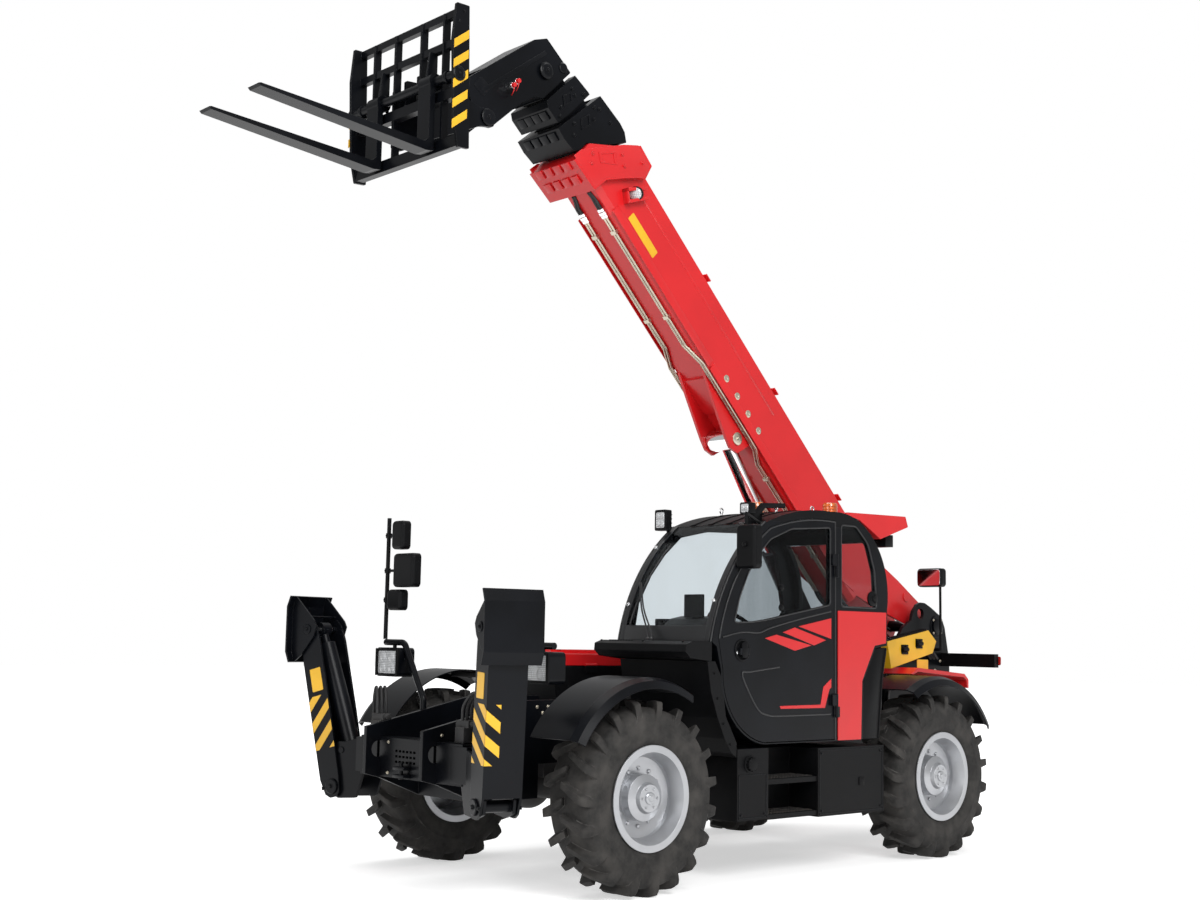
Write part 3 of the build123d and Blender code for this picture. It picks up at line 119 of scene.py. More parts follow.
def new_group(name, inputs, outputs):
    """Empty shader group: a vector and named numbers go in, masks and a normal come out."""
    group = bpy.data.node_groups.new(name, "ShaderNodeTree")
    face = group.interface
    face.new_socket("Vector", in_out="INPUT", socket_type="NodeSocketVector")
    for label, value in inputs.items():
        face.new_socket(label, in_out="INPUT", socket_type="NodeSocketFloat").default_value = value
    for label in outputs:
        kind = "NodeSocketVector" if label == "Normal" else "NodeSocketFloat"
        face.new_socket(label, in_out="OUTPUT", socket_type=kind)
    return group, group.nodes.new("NodeGroupInput").outputs, group.nodes.new("NodeGroupOutput")


def edge_wear_and_sheen_group():
    """Mask of outer edges, broken up by noise, and the rounded normal of the edges: rubbed paint on most finishes, and
    on black paint partly a painted bluish sheen on raised edges.
    """
    group, given, out = new_group("edge_wear_and_sheen", {"Radius": 0.006, "Amount": 0.5}, ("Mask", "Normal"))
    rounded = add_node(group, "Bevel", {"Radius": given["Radius"]}, samples=4).outputs[0]
    flat = add_node(group, "NewGeometry").outputs["Normal"]
    along = add_node(group, "VectorMath", {0: rounded, 1: flat}, operation="DOT_PRODUCT").outputs["Value"]
    edge = ramp(group, math_node(group, "SUBTRACT", 1.0, along), 0.02, 0.22)
    patches = ramp(group, noise(group, given["Vector"], 9.0, 6.0), 0.47, 0.66)
    worn_and_sheen = times(group, times(group, edge, patches), given["Amount"], clamp=True)
    fill(group, out, {"Mask": worn_and_sheen, "Normal": rounded})
    return group


def dust_group():
    """Mask of dust and dried mud: on faces that look up, lower on the machine, and in loose patches."""
    group, given, out = new_group("dust", {"Amount": 0.4, "Low": 0.3, "High": 1.6}, ("Mask",))
    place = add_node(group, "SeparateXYZ", {0: given["Vector"]}).outputs["Z"]
    facing = add_node(group, "SeparateXYZ", {0: add_node(group, "NewGeometry").outputs["Normal"]}).outputs["Z"]
    lower = add_node(group, "MapRange", {"Value": place, "From Max": given["Low"], "From Min": given["High"]})
    patches = ramp(group, noise(group, given["Vector"], 2.4, 8.0, 0.62), 0.35, 0.75)
    fine = ramp(group, noise(group, given["Vector"], 38.0, 3.0), 0.3, 0.8)
    top = times(group, ramp(group, facing, 0.35, 1.0), 0.45)
    cover = plus(group, top, times(group, lower.outputs["Result"], 0.75))
    loose = times(group, cover, plus(group, patches, times(group, fine, 0.25)))
    fill(group, out, {"Mask": times(group, loose, given["Amount"], clamp=True)})
    return group


def mottle_group():
    """Slow changes of colour and gloss, streaks down the surface, and fine grain for the bump."""
    group, given, out = new_group("mottle", {"Scale": 3.0, "Grain": 300.0}, ("Cloud", "Streak", "Grain"))
    cloud = add_node(group, "TexNoise", {"Vector": given["Vector"], "Scale": given["Scale"], "Detail": 5.0})
    stretch = add_node(group, "Mapping", {"Vector": given["Vector"], "Scale": (14.0, 14.0, 0.8)})
    grain = add_node(group, "TexNoise", {"Vector": given["Vector"], "Scale": given["Grain"], "Detail": 2.0})
    fill(group, out, {"Cloud": cloud.outputs["Fac"], "Grain": grain.outputs["Fac"],
                      "Streak": noise(group, stretch.outputs[0], 1.0, 3.0)})
    return group


EDGE_WEAR_AND_SHEEN, DUST, MOTTLE = edge_wear_and_sheen_group(), dust_group(), mottle_group()
DUST_COLOUR = (0.23, 0.18, 0.13)


# ---------------------------------------------------------------- materials
def start_material(name):
    material = bpy.data.materials.new(name)
    material.use_nodes = True
    tree = material.node_tree
    return material, tree, tree.nodes["Principled BSDF"], tree.nodes.new("ShaderNodeTexCoord").outputs["Object"]


def place_group(tree, group, where, **values):
    return fill(tree, add_node(tree, "Group", node_tree=group), {"Vector": where, **values}).outputs


def bumped(tree, height, strength, depth, normal=None):
    inputs = {"Height": height, "Strength": strength, "Distance": depth, "Normal": normal}
    return add_node(tree, "Bump", inputs).outputs[0]


def finish(name, colour, rough, metal=0.0, coat=0.0, wear_and_sheen=0.5, worn_and_sheen=(0.35, 0.33, 0.31), edge=0.005, dust=0.4,
           grain=300.0, bump=0.02, cloud=0.12, specular=0.5):
    """Painted, plated or moulded surface with mottling, rubbed edges, dust and a fine grain; on black paint the edge
    colour is partly a painted bluish sheen on the raised edges.
    """
    material, tree, shader, where = start_material(name)
    mottle = place_group(tree, MOTTLE, where, Scale=2.6, Grain=grain)
    wear_and_sheen_mask = place_group(tree, EDGE_WEAR_AND_SHEEN, where, Radius=edge, Amount=wear_and_sheen)
    dusty = place_group(tree, DUST, where, Amount=dust)["Mask"]
    dark, light = (tuple(min(1.0, c * share) for c in colour) for share in (1 - cloud, 1 + cloud))
    shade = mix_colours(tree, ramp(tree, mottle["Cloud"], 0.3, 0.7), dark, light)
    # rubbed edges take the edge colour; on black paint that colour is partly a painted bluish sheen on the raised edges
    shade = mix_colours(tree, wear_and_sheen_mask["Mask"], shade, worn_and_sheen)
    gloss = plus(tree, rough, times(tree, mottle["Cloud"], 0.12))
    fill(tree, shader, {
        "Base Color": mix_colours(tree, dusty, shade, DUST_COLOUR),
        "Roughness": plus(tree, gloss, times(tree, dusty, 0.45), clamp=True),
        "Metallic": metal, "Coat Weight": coat, "Coat Roughness": 0.12, "Specular IOR Level": specular,
        "Normal": bumped(tree, mottle["Grain"], bump, 0.002, wear_and_sheen_mask["Normal"])})
    return material


def rubber_material():
    """Tyre rubber, dulled by dried dust, paler where the edges of the lugs are rubbed."""
    material, tree, shader, where = start_material("tyre_rubber")
    mottle = place_group(tree, MOTTLE, where, Scale=6.0, Grain=160.0)
    wear_and_sheen_mask = place_group(tree, EDGE_WEAR_AND_SHEEN, where, Radius=0.012, Amount=0.9)
    patches = ramp(tree, noise(tree, where, 11.0, 8.0, 0.65), 0.32, 0.68)
    shade = mix_colours(tree, patches, (0.015, 0.0145, 0.014), (0.042, 0.04, 0.038))
    shade = mix_colours(tree, ramp(tree, mottle["Cloud"], 0.42, 0.75), shade, (0.060, 0.056, 0.052))
    fill(tree, shader, {
        "Base Color": mix_colours(tree, wear_and_sheen_mask["Mask"], shade, (0.13, 0.125, 0.118)),
        "Roughness": plus(tree, 0.72, times(tree, patches, 0.2)), "Specular IOR Level": 0.3,
        "Normal": bumped(tree, mottle["Grain"], 0.35, 0.003, wear_and_sheen_mask["Normal"])})
    return material


def glass_material(name, tint):
    """Cab glass with a thin film of dust."""
    material, tree, shader, where = start_material(name)
    film = ramp(tree, place_group(tree, MOTTLE, where, Scale=3.0, Grain=90.0)["Streak"], 0.35, 0.85)
    fill(tree, shader, {
        "Base Color": mix_colours(tree, times(tree, film, 0.10), tint, (0.70, 0.71, 0.69)),
        "Roughness": plus(tree, 0.02, times(tree, film, 0.03)), "Transmission Weight": 1.0, "IOR": 1.05,
        "Specular IOR Level": 0.5, "Coat Weight": 0.15, "Coat Roughness": 0.02})
    return material


def lens_material(name, colour, ribs):
    """Lamp lens: clear or coloured plastic over a bright reflector, with moulded ribs."""
    material, tree, shader, where = start_material(name)
    parts = add_node(tree, "SeparateXYZ", {0: where}).outputs
    wave, lift = (math_node(tree, "ABSOLUTE", math_node(tree, "SINE", times(tree, parts[way], ribs))) for way in "YZ")
    cells = times(tree, wave, lift)
    fill(tree, shader, {
        "Base Color": mix_colours(tree, cells, tuple(c * 0.45 for c in colour), colour), "Metallic": 0.0,
        "Coat Weight": 1.0, "Coat Roughness": 0.03, "Roughness": plus(tree, 0.12, times(tree, cells, 0.2)),
        "Normal": bumped(tree, cells, 0.5, 0.002)})
    return material


RED = finish("red_paint", (0.66, 0.011, 0.014), 0.27, coat=0.12, wear_and_sheen=0.12, worn_and_sheen=(0.35, 0.04, 0.03), dust=0.05,
             cloud=0.04)
# black paint: its bluish edge colour is a painted sheen on the raised edges as well as rubbed paint
BLACK = finish("black_paint", (0.0030, 0.0036, 0.0052), 0.24, wear_and_sheen=0.22, worn_and_sheen=(0.028, 0.032, 0.040), dust=0.010,
               cloud=0.3, specular=0.15)
DARK = finish("black_plastic", (0.0036, 0.0038, 0.0045), 0.40, wear_and_sheen=0.15, worn_and_sheen=(0.022, 0.022, 0.024), dust=0.012,
              bump=0.10, grain=520.0, cloud=0.2, specular=0.12)
YELLOW = finish("yellow_paint", (0.85, 0.47, 0.012), 0.32, coat=0.3, wear_and_sheen=0.35, worn_and_sheen=(0.25, 0.2, 0.12), dust=0.08)
SILVER = finish("rim_paint", (0.46, 0.47, 0.49), 0.30, metal=0.75, wear_and_sheen=0.3, dust=0.10, cloud=0.08)
CAST = finish("cast_iron", (0.022, 0.022, 0.023), 0.6, wear_and_sheen=0.5, dust=0.25, bump=0.35, grain=140.0)
CHROME = finish("chrome_rod", (0.80, 0.81, 0.82), 0.06, metal=1.0, wear_and_sheen=0.0, dust=0.03, bump=0.0, cloud=0.02)
STEEL = finish("zinc_pipe", (0.55, 0.50, 0.40), 0.26, metal=0.9, wear_and_sheen=0.2, dust=0.1)
CLOTH = finish("seat_cloth", (0.014, 0.014, 0.016), 0.85, wear_and_sheen=0.2, dust=0.05, bump=0.5, grain=900.0)
SEAL = finish("seal_rubber", (0.007, 0.0075, 0.009), 0.30, coat=0.1, wear_and_sheen=0.1, worn_and_sheen=(0.03, 0.03, 0.03), dust=0.03,
              bump=0.03)
HOSE = finish("hose_rubber", (0.010, 0.010, 0.011), 0.5, wear_and_sheen=0.2, worn_and_sheen=(0.04, 0.04, 0.04), dust=0.08, bump=0.15,
              grain=700.0)
RUBBER = rubber_material()
GLASS = glass_material("cab_glass", (0.80, 0.84, 0.86))
TINTED = glass_material("door_glass", (0.30, 0.33, 0.35))
MIRROR = finish("mirror_glass", (0.80, 0.83, 0.86), 0.03, metal=1.0, wear_and_sheen=0.0, dust=0.02, bump=0.0, cloud=0.02)
CLEAR = lens_material("clear_lens", (0.82, 0.84, 0.86), 260.0)
AMBER = lens_material("amber_lens", (0.90, 0.20, 0.012), 120.0)
RED_LENS = lens_material("red_lens", (0.60, 0.015, 0.01), 260.0)

# finish, and what the names of the nodes that take it start with; the others are painted black
NODE_FINISH = (
    (RED, "boom_base cab_quarter_panel roof_visor rear_covers engine_lid"),
    (DARK, "cowl cab_controls mirrors cab_roof rear_lights engine_pod step_box"),
    (YELLOW, "safety_prop"),
    (CAST, "engine_block counterweight front_axle rear_axle"),
    (CHROME, "lift_rod level_rod tilt_rod leg_rod"),
    (STEEL, "boom_pipes"), (CLOTH, "seat"), (GLASS, "cab_glass"), (TINTED, "door_glass"),
    (RUBBER, "tyre"), (SILVER, "rim"))

for name, thing in frame["nodes"].items():
    chosen = [material for material, starts in NODE_FINISH if name.startswith(tuple(starts.split()))]
    thing.data.materials.clear()
    thing.data.materials.append(chosen[0] if chosen else BLACK)


# ---------------------------------------------------------------- shapes
SMOOTH_BELOW = math.radians(32)     # edges with a smaller turn are shaded smooth
BEAD = 0.006                        # radius of the rubber beads round the panes


def circle(count, start=0.0):
    """Cosine and sine of evenly spaced turns; start is a share of the step."""
    turns = [2 * math.pi * (k + start) / count for k in range(count)]
    return [(math.cos(a), math.sin(a)) for a in turns]


def turned_to(axis):
    """Turn that carries Z onto an axis."""
    return axis.to_track_quat("Z", "Y").to_matrix()


class Shape:
    """Mesh under construction: solids are added one by one, in metres, about the frame they are given."""

    def __init__(self, home=MACHINE):
        self.home = home
        self.bm = bmesh.new()

    def skin(self, rings, caps=True):
        """Join closed rings of points, each of the same count, into a surface."""
        rows = [[self.bm.verts.new(self.home @ Vector(p)) for p in ring] for ring in rings]
        count = len(rows[0])
        for a, b in zip(rows, rows[1:]):
            for k in range(count):
                self.bm.faces.new((a[k], a[(k + 1) % count], b[(k + 1) % count], b[k]))
        if caps:
            self.bm.faces.new(rows[0])
            self.bm.faces.new(rows[-1][::-1])

    def slab(self, outline, axis, low, high):
        """Flat outline in the plane square to one axis, thickened between two places on it."""
        order = {"x": lambda a, b, d: (d, a, b), "y": lambda a, b, d: (a, d, b), "z": lambda a, b, d: (a, b, d)}[axis]
        self.skin([[order(a, b, d) for a, b in outline] for d in (low, high)])

    def both(self, outline, low, high):
        """The same slab on the left and on the right, between two distances from the middle."""
        for s in (1, -1):
            self.slab(outline, "y", *sorted((s * low, s * high)))

    def panel(self, a, b, radius, axis, low, high):
        """Slab with a rectangular outline and round corners."""
        self.slab(round_outline(rectangle(a, b), radius), axis, low, high)

    def box(self, x, y, z):
        self.slab(rectangle(x, y), "z", *z)

    def rod(self, start, end, radius, far=None, sides=20):
        """Round bar or cone between two points."""
        start, end = Vector(start), Vector(end)
        turn = turned_to(end - start)
        self.skin([[point + turn @ Vector((r * c, r * s, 0)) for c, s in circle(sides)]
                   for point, r in ((start, radius), (end, radius if far is None else far))])

    def lathe(self, profile, place, axis, sides=40, ring=False):
        """Turned solid, or a turned ring: profile of (radius, height) about an axis through a place."""
        turn, place = turned_to(Vector(axis).normalized()), Vector(place)
        rings = [[place + turn @ Vector((max(r, 1e-4) * c, max(r, 1e-4) * s, h)) for c, s in circle(sides)]
                 for r, h in profile]
        self.skin(rings + rings[:1] if ring else rings, caps=not ring)

    def bolt(self, place, axis, size=0.012):
        """Hexagon head on its washer."""
        for r, low, high, sides in ((1.25, 0.0, 0.2, 16), (1, 0.2, 0.85, 6), (0.8, 0.85, 0.97, 6)):
            self.lathe([(r * size, low * size), (r * size, high * size)], place, axis, sides)

    def cap(self, place, axis, sizes, sides=32):
        """Round cap with a sloping edge: radius, height of the side, radius of the top and height."""
        radius, side, top, height = sizes
        self.lathe([(radius, 0), (radius, side), (top, height), (0, height)], place, axis, sides)

    def bolts(self, places, axis, size):
        for place in places:
            self.bolt(place, axis, size)

    def tube(self, points, radius, sides=10, steps=6):
        """Hose or bent rod along a smooth line through the points."""
        path = smooth_line([Vector(p) for p in points], steps)
        rings = []
        side = None
        for k, point in enumerate(path):
            ahead = (path[min(k + 1, len(path) - 1)] - path[max(k - 1, 0)]).normalized()
            side = side or ahead.orthogonal().normalized()
            side = (side - ahead * side.dot(ahead)).normalized()
            other = ahead.cross(side)
            rings.append([point + radius * (c * side + s * other) for c, s in circle(sides)])
        self.skin(rings)

    def piece(self, name, material, body="chassis", bevel=0.0, sharp=35.0, segments=2):
        """Close the mesh, round its edges and hand it over as a piece that rides on a body."""
        bm = self.bm
        bmesh.ops.recalc_face_normals(bm, faces=bm.faces)
        if bevel:
            edges = [e for e in bm.edges if e.is_manifold and e.calc_face_angle(0) > math.radians(sharp)]
            bmesh.ops.bevel(bm, geom=edges, offset=bevel, segments=segments, profile=0.5, affect="EDGES",
                            clamp_overlap=True)
        for edge in bm.edges:
            edge.smooth = edge.is_manifold and edge.calc_face_angle(0) < SMOOTH_BELOW
        return hand_over(bm, name, body, material)


def hand_over(bm, name, body, material):
    """Smooth-shaded object from a mesh under construction, riding on a body."""
    for face in bm.faces:
        face.smooth = True
    mesh = bpy.data.meshes.new(name)
    bm.to_mesh(mesh)
    bm.free()
    mesh.materials.append(material)
    thing = bpy.data.objects.new(name, mesh)
    bpy.context.scene.collection.objects.link(thing)
    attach(thing, body)
    return thing


def rectangle(a, b):
    return [(a[0], b[0]), (a[1], b[0]), (a[1], b[1]), (a[0], b[1])]


def smooth_line(points, steps):
    """Catmull-Rom line through the points."""
    if len(points) < 3:
        return points
    path = []
    ends = [2 * points[0] - points[1]] + points + [2 * points[-1] - points[-2]]
    for a, b, c, d in zip(ends, ends[1:], ends[2:], ends[3:]):
        for k in range(steps):
            t = k / steps
            path.append(0.5 * (2 * b + (c - a) * t + (2 * a - 5 * b + 4 * c - d) * t ** 2
                               + (3 * b - 3 * c + d - a) * t ** 3))
    return path + [points[-1]]


def round_outline(points, radius, steps=4):
    """Outline with its corners rounded."""
    made = []
    for k in range(len(points)):
        before, here, after = (Vector(points[j % len(points)]) for j in (k - 1, k, k + 1))
        a, b = (before - here), (after - here)
        cut = min(radius, 0.45 * a.length, 0.45 * b.length)
        a, b = here + a.normalized() * cut, here + b.normalized() * cut
        for j in range(steps + 1):
            t = j / steps
            made.append(tuple((1 - t) ** 2 * a + 2 * t * (1 - t) * here + t ** 2 * b))
    return made


def around(x, z, radius, count, start=0.0):
    """Points evenly spaced on a circle in the side view."""
    return [(x + radius * c, z + radius * s) for c, s in circle(count, start)]


def at_side(line, y):
    """Line of the side view, carried to one distance from the middle."""
    return [(x, y, z) for x, z in line]


# ---------------------------------------------------------------- wheels
LUGS = 19
SHOULDER, LUG_END, TREAD_RADIUS = 0.184, 0.1975, 0.62
FOOT_SHARE, CREST_SHARE = 1.25, 0.88      # width of a lug at its foot and at its crest
# bead to crown: distance from the middle plane, radius
TYRE_HALF = [
    (0.158, 0.3075), (0.17, 0.33), (0.1765, 0.352), (0.184, 0.366), (0.1865, 0.372), (0.188, 0.38), (0.19, 0.395),
    (0.1925, 0.43), (0.1935, 0.452), (0.1955, 0.455), (0.1955, 0.463), (0.1935, 0.466), (0.1915, 0.5), (0.186, 0.53),
    (0.174, 0.552), (0.152, 0.566), (0.11, 0.573), (0.06, 0.577), (0.0, 0.579)]
# along a lug: share of the way out, half width along the turn, sweep back, radius of the crest, radius of the foot
LUG_RUN = [
    (-0.06, 0.0235, 0.0, 0.6215, 0.57), (0.15, 0.025, 0.016, 0.6232, 0.57), (0.4, 0.0265, 0.04, 0.6235, 0.568),
    (0.7, 0.0285, 0.066, 0.623, 0.56), (0.88, 0.03, 0.081, 0.62, 0.548), (0.99, 0.03, 0.09, 0.613, 0.53),
    (1.05, 0.029, 0.098, 0.586, 0.515), (1.075, 0.026, 0.106, 0.55, 0.5), (1.08, 0.022, 0.112, 0.515, 0.49)]


def tyre_piece(wheel, place):
    """Tyre with beaded sidewalls and two rows of curved lugs."""
    shape = Shape(Matrix.Translation(place))
    profile = TYRE_HALF + [(-y, r) for y, r in reversed(TYRE_HALF[:-1])]
    rings = [[(r * c, y, r * s) for y, r in profile] for c, s in circle(96)]
    shape.skin(rings + rings[:1], caps=False)
    bmesh.ops.remove_doubles(shape.bm, verts=shape.bm.verts, dist=1e-5)
    for side in (1, -1):
        for k in range(LUGS):
            turn = -math.radians((k + 0.25 + 0.5 * (side < 0)) * 360 / LUGS) + math.pi / 2
            sections = []
            for out, wide, back, crest, foot in LUG_RUN:
                y = min(out * SHOULDER, LUG_END)
                ring = []
                low, high = wide * FOOT_SHARE, wide * CREST_SHARE
                for r, w in ((foot, low), (crest, high), (crest, -high), (foot, -low)):
                    a = turn - (back + w) / TREAD_RADIUS
                    depth = side * (y if r == crest else min(abs(y), SHOULDER))
                    ring.append((r * math.cos(a), depth, r * math.sin(a)))
                sections.append(ring)
            shape.skin(sections)
    thing = shape.piece(f"tyre_tread_{wheel}", RUBBER, f"wheel_{wheel}", bevel=0.0035, sharp=30, segments=1)
    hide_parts(f"tyre_{wheel}")


def rim_fittings(wheel, place, out):
    """Wheel bolts, hub cover with its bolts, and valve; and the lips of the rim."""
    shape, lips = Shape(Matrix.Translation(place)), Shape(Matrix.Translation(place))
    axis = (0, out, 0)
    for count, start, radius, lift, size in (
            (12, 0, 0.185, 0.053, 0.014), (8, 0.5, 0.122, 0.119, 0.01), (6, 0, 0.066, 0.168, 0.007)):
        shape.bolts(at_side(around(0, 0, radius, count, start), out * lift), axis, size)
    shape.lathe([(0.04, 0), (0.04, 0.006), (0.034, 0.011), (0.02, 0.012), (0.018, 0.017), (0, 0.017)],
                (0, out * 0.168, 0), axis, 24)
    shape.rod((0.25, out * 0.066, 0.02), (0.262, out * 0.115, 0.02), 0.006, sides=10)
    shape.piece(f"rim_bolts_{wheel}", SILVER, f"wheel_{wheel}")
    for way in (out, -out):
        lips.lathe([(0.332, 0), (0.3395, 0.002), (0.3395, 0.0105), (0.332, 0.0115), (0.327, 0.007)],
                   (0, way * 0.1765, 0), (0, way, 0), 72, ring=True)
    lips.piece(f"rim_lips_{wheel}", SILVER, f"wheel_{wheel}")


for wheel, place in WHEELS.items():
    tyre_piece(wheel, place)
    rim_fittings(wheel, place, SIDES[wheel.split("_")[1]])


# ---------------------------------------------------------------- stabilizers
LEG_SPLAY = math.radians(13.2)
LEG_LEAN = {"left": math.radians(3.1), "right": math.radians(14.3)}
LEG_REST = {"left": 0.8586, "right": 0.8817}  # pin to pin along the leg's cylinder
LEG_HALF = 0.136                              # half the leg's width along its pin
LEG_FACE = 0.1001                             # its outer face, from the pin
LEG_LENGTH = 1.1
BAND_LOW, BAND_HIGH = 0.26, 0.63              # the banded part of the leg


def leg_frame(side, lean=0.0):
    """Frame at a leg's pivot: X along its pin, Y outwards, Z up the leg."""
    s = SIDES[side]
    along = Vector((math.cos(LEG_SPLAY), -s * math.sin(LEG_SPLAY), 0))
    out = Vector((math.sin(LEG_SPLAY), s * math.cos(LEG_SPLAY), 0))
    return axes(along, math.cos(lean) * out - math.sin(lean) * UP, math.sin(lean) * out + math.cos(lean) * UP,
                JOINTS[f"leg_{side}_swing"]["pos_m"])


def rod_eye(side):
    """Black forged eye and neck over the end of the leg's rod."""
    hinge = JOINTS[f"leg_barrel_{side}_swing"]
    across = Vector(hinge["axis"]).normalized()
    way = Vector(JOINTS[f"leg_rod_{side}_slide"]["axis"]).normalized()
    forging = Shape(axes(across, way.cross(across), way, Vector(hinge["pos_m"]) + LEG_REST[side] * way))
    half = [(0, 0.0413), (0.0505, 0.0413), (0.0515, 0.0405)]
    forging.lathe([(r, -h) for r, h in half] + half[::-1], (0, 0, 0), (1, 0, 0))
    forging.rod((0, 0, -0.135), (0, 0, -0.03), 0.0322, sides=32)
    forging.piece(f"rod_eye_{side}", BLACK, f"leg_rod_{side}")


def trimmed(outline, low, high):
    """Outline cut off straight below low and above high."""
    for keep, edge in ((1, low), (-1, high)):
        kept = []
        for (a, b), (c, d) in zip(outline, outline[1:] + outline[:1]):
            inside, then = keep * (b - edge) >= 0, keep * (d - edge) >= 0
            if inside:
                kept.append((a, b))
            if inside != then:
                kept.append((a + (edge - b) / (d - b) * (c - a), edge))
        outline = kept
    return outline


def leg_fittings(side):
    """Hazard bands and a bare yellow plate on the leg, its pin heads and the eye of its rod."""
    home = leg_frame(side, LEG_LEAN[side])
    bands, plate, pins = Shape(home), Shape(home), Shape(home)
    inner = LEG_HALF - 0.1
    for k in range(5):
        low = 0.085 + 0.148 * k
        for outline, axis, near in (
                ([(-0.078, low + 0.145), (0.098, low), (0.098, low + 0.07), (-0.078, low + 0.215)], "x", LEG_HALF),
                ([(LEG_HALF, low), (inner, low - 0.075), (inner, low - 0.005), (LEG_HALF, low + 0.07)], "y", LEG_FACE)):
            stripe = trimmed(outline, BAND_LOW, BAND_HIGH)
            heights = [z for _, z in stripe]
            if len(stripe) > 2 and max(heights) - min(heights) > 0.02:
                bands.slab(stripe, axis, near, near + 0.0012)
    bands.piece(f"leg_bands_{side}", YELLOW, f"leg_{side}")
    plate.panel((-0.05, 0.05), (0.66, 0.82), 0.008, "x", LEG_HALF, LEG_HALF + 0.0022)
    plate.piece(f"leg_sign_{side}", YELLOW, f"leg_{side}")
    rod_eye(side)
    for k in (-1, 1):
        pins.cap((k * (LEG_HALF + 0.001), 0, 0), (k, 0, 0), (0.052, 0.01, 0.046, 0.014))
        pins.bolt((k * (LEG_HALF + 0.014), 0, 0), (k, 0, 0), 0.014)
        pins.slab(rectangle((0.052, 0.088), (-0.012, 0.012)), "x", k * LEG_HALF, k * (LEG_HALF + 0.008))
        pins.bolt((k * (LEG_HALF + 0.008), 0.072, 0), (k, 0, 0), 0.008)
    pins.piece(f"leg_pins_{side}", BLACK, f"leg_{side}")


def pad_fittings(side):
    """Pin heads of the pad."""
    lean = LEG_LEAN[side]
    shape = Shape(leg_frame(side) @ Matrix.Translation((0, LEG_LENGTH * math.sin(lean), LEG_LENGTH * math.cos(lean))))
    for k in (-1, 1):
        at = k * (LEG_HALF + 0.021)
        shape.cap((at, 0, 0), (k, 0, 0), (0.034, 0.005, 0.03, 0.008), 28)
        shape.bolt((at + k * 0.008, 0, 0), (k, 0, 0), 0.01)
    shape.piece(f"pad_pins_{side}", BLACK, f"pad_{side}")


for side in SIDES:
    leg_fittings(side)
    pad_fittings(side)

# ---------------------------------------------------------------- cab
CAB_RIGHT, CAB_LEFT = 0.22, 1.15
LEFT, FORWARD = (0, 1, 0), (1, 0, 0)


def arc(a, b, c, count):
    """Points along the circle through three points."""
    (ax, az), (bx, bz), (cx, cz) = a, b, c
    d = 2 * (ax * (bz - cz) + bx * (cz - az) + cx * (az - bz))
    aa, bb, cc = ax ** 2 + az ** 2, bx ** 2 + bz ** 2, cx ** 2 + cz ** 2
    x = (aa * (bz - cz) + bb * (cz - az) + cc * (az - bz)) / d
    z = (aa * (cx - bx) + bb * (ax - cx) + cc * (bx - ax)) / d
    r = math.hypot(ax - x, az - z)
    start, end = math.atan2(az - z, ax - x), math.atan2(cz - z, cx - x)
    turns = [start + (end - start) * k / count for k in range(count + 1)]
    return [(x + r * math.cos(a), z + r * math.sin(a)) for a in turns]


def pushed(line, out):
    """Line of (x, z) points moved square to itself, outwards."""
    made = []
    for k, point in enumerate(line):
        ahead = Vector(line[min(k + 1, len(line) - 1)]) - Vector(line[max(k - 1, 0)])
        square = Vector((ahead.y, -ahead.x)).normalized()
        made.append(tuple(Vector(point) + square * out))
    return made


SCREEN_LINE = arc((0.99, 1.63), (0.87, 1.985), (0.44, 2.48), 28)
DOOR_LINE = (arc((0.925, 1.655), (0.77, 2.06), (0.4, 2.44), 20)
             + arc((0.4, 2.44), (0.1, 2.51), (-0.32, 2.53), 10)[1:])


def band(shape, line, y0, y1, high):
    """Bent strip on a line of the side view, as thick as it says."""
    shape.skin([[(a[0], y0, a[1]), (a[0], y1, a[1]), (b[0], y1, b[1]), (b[0], y0, b[1])]
                for a, b in zip(pushed(line, 0.0), pushed(line, high))])


def window_seal(shape, window, y):
    """Rubber bead round a pane with round corners."""
    loop = round_outline(window, 0.03)
    shape.tube(at_side(loop + loop[:1], y), BEAD, steps=1)


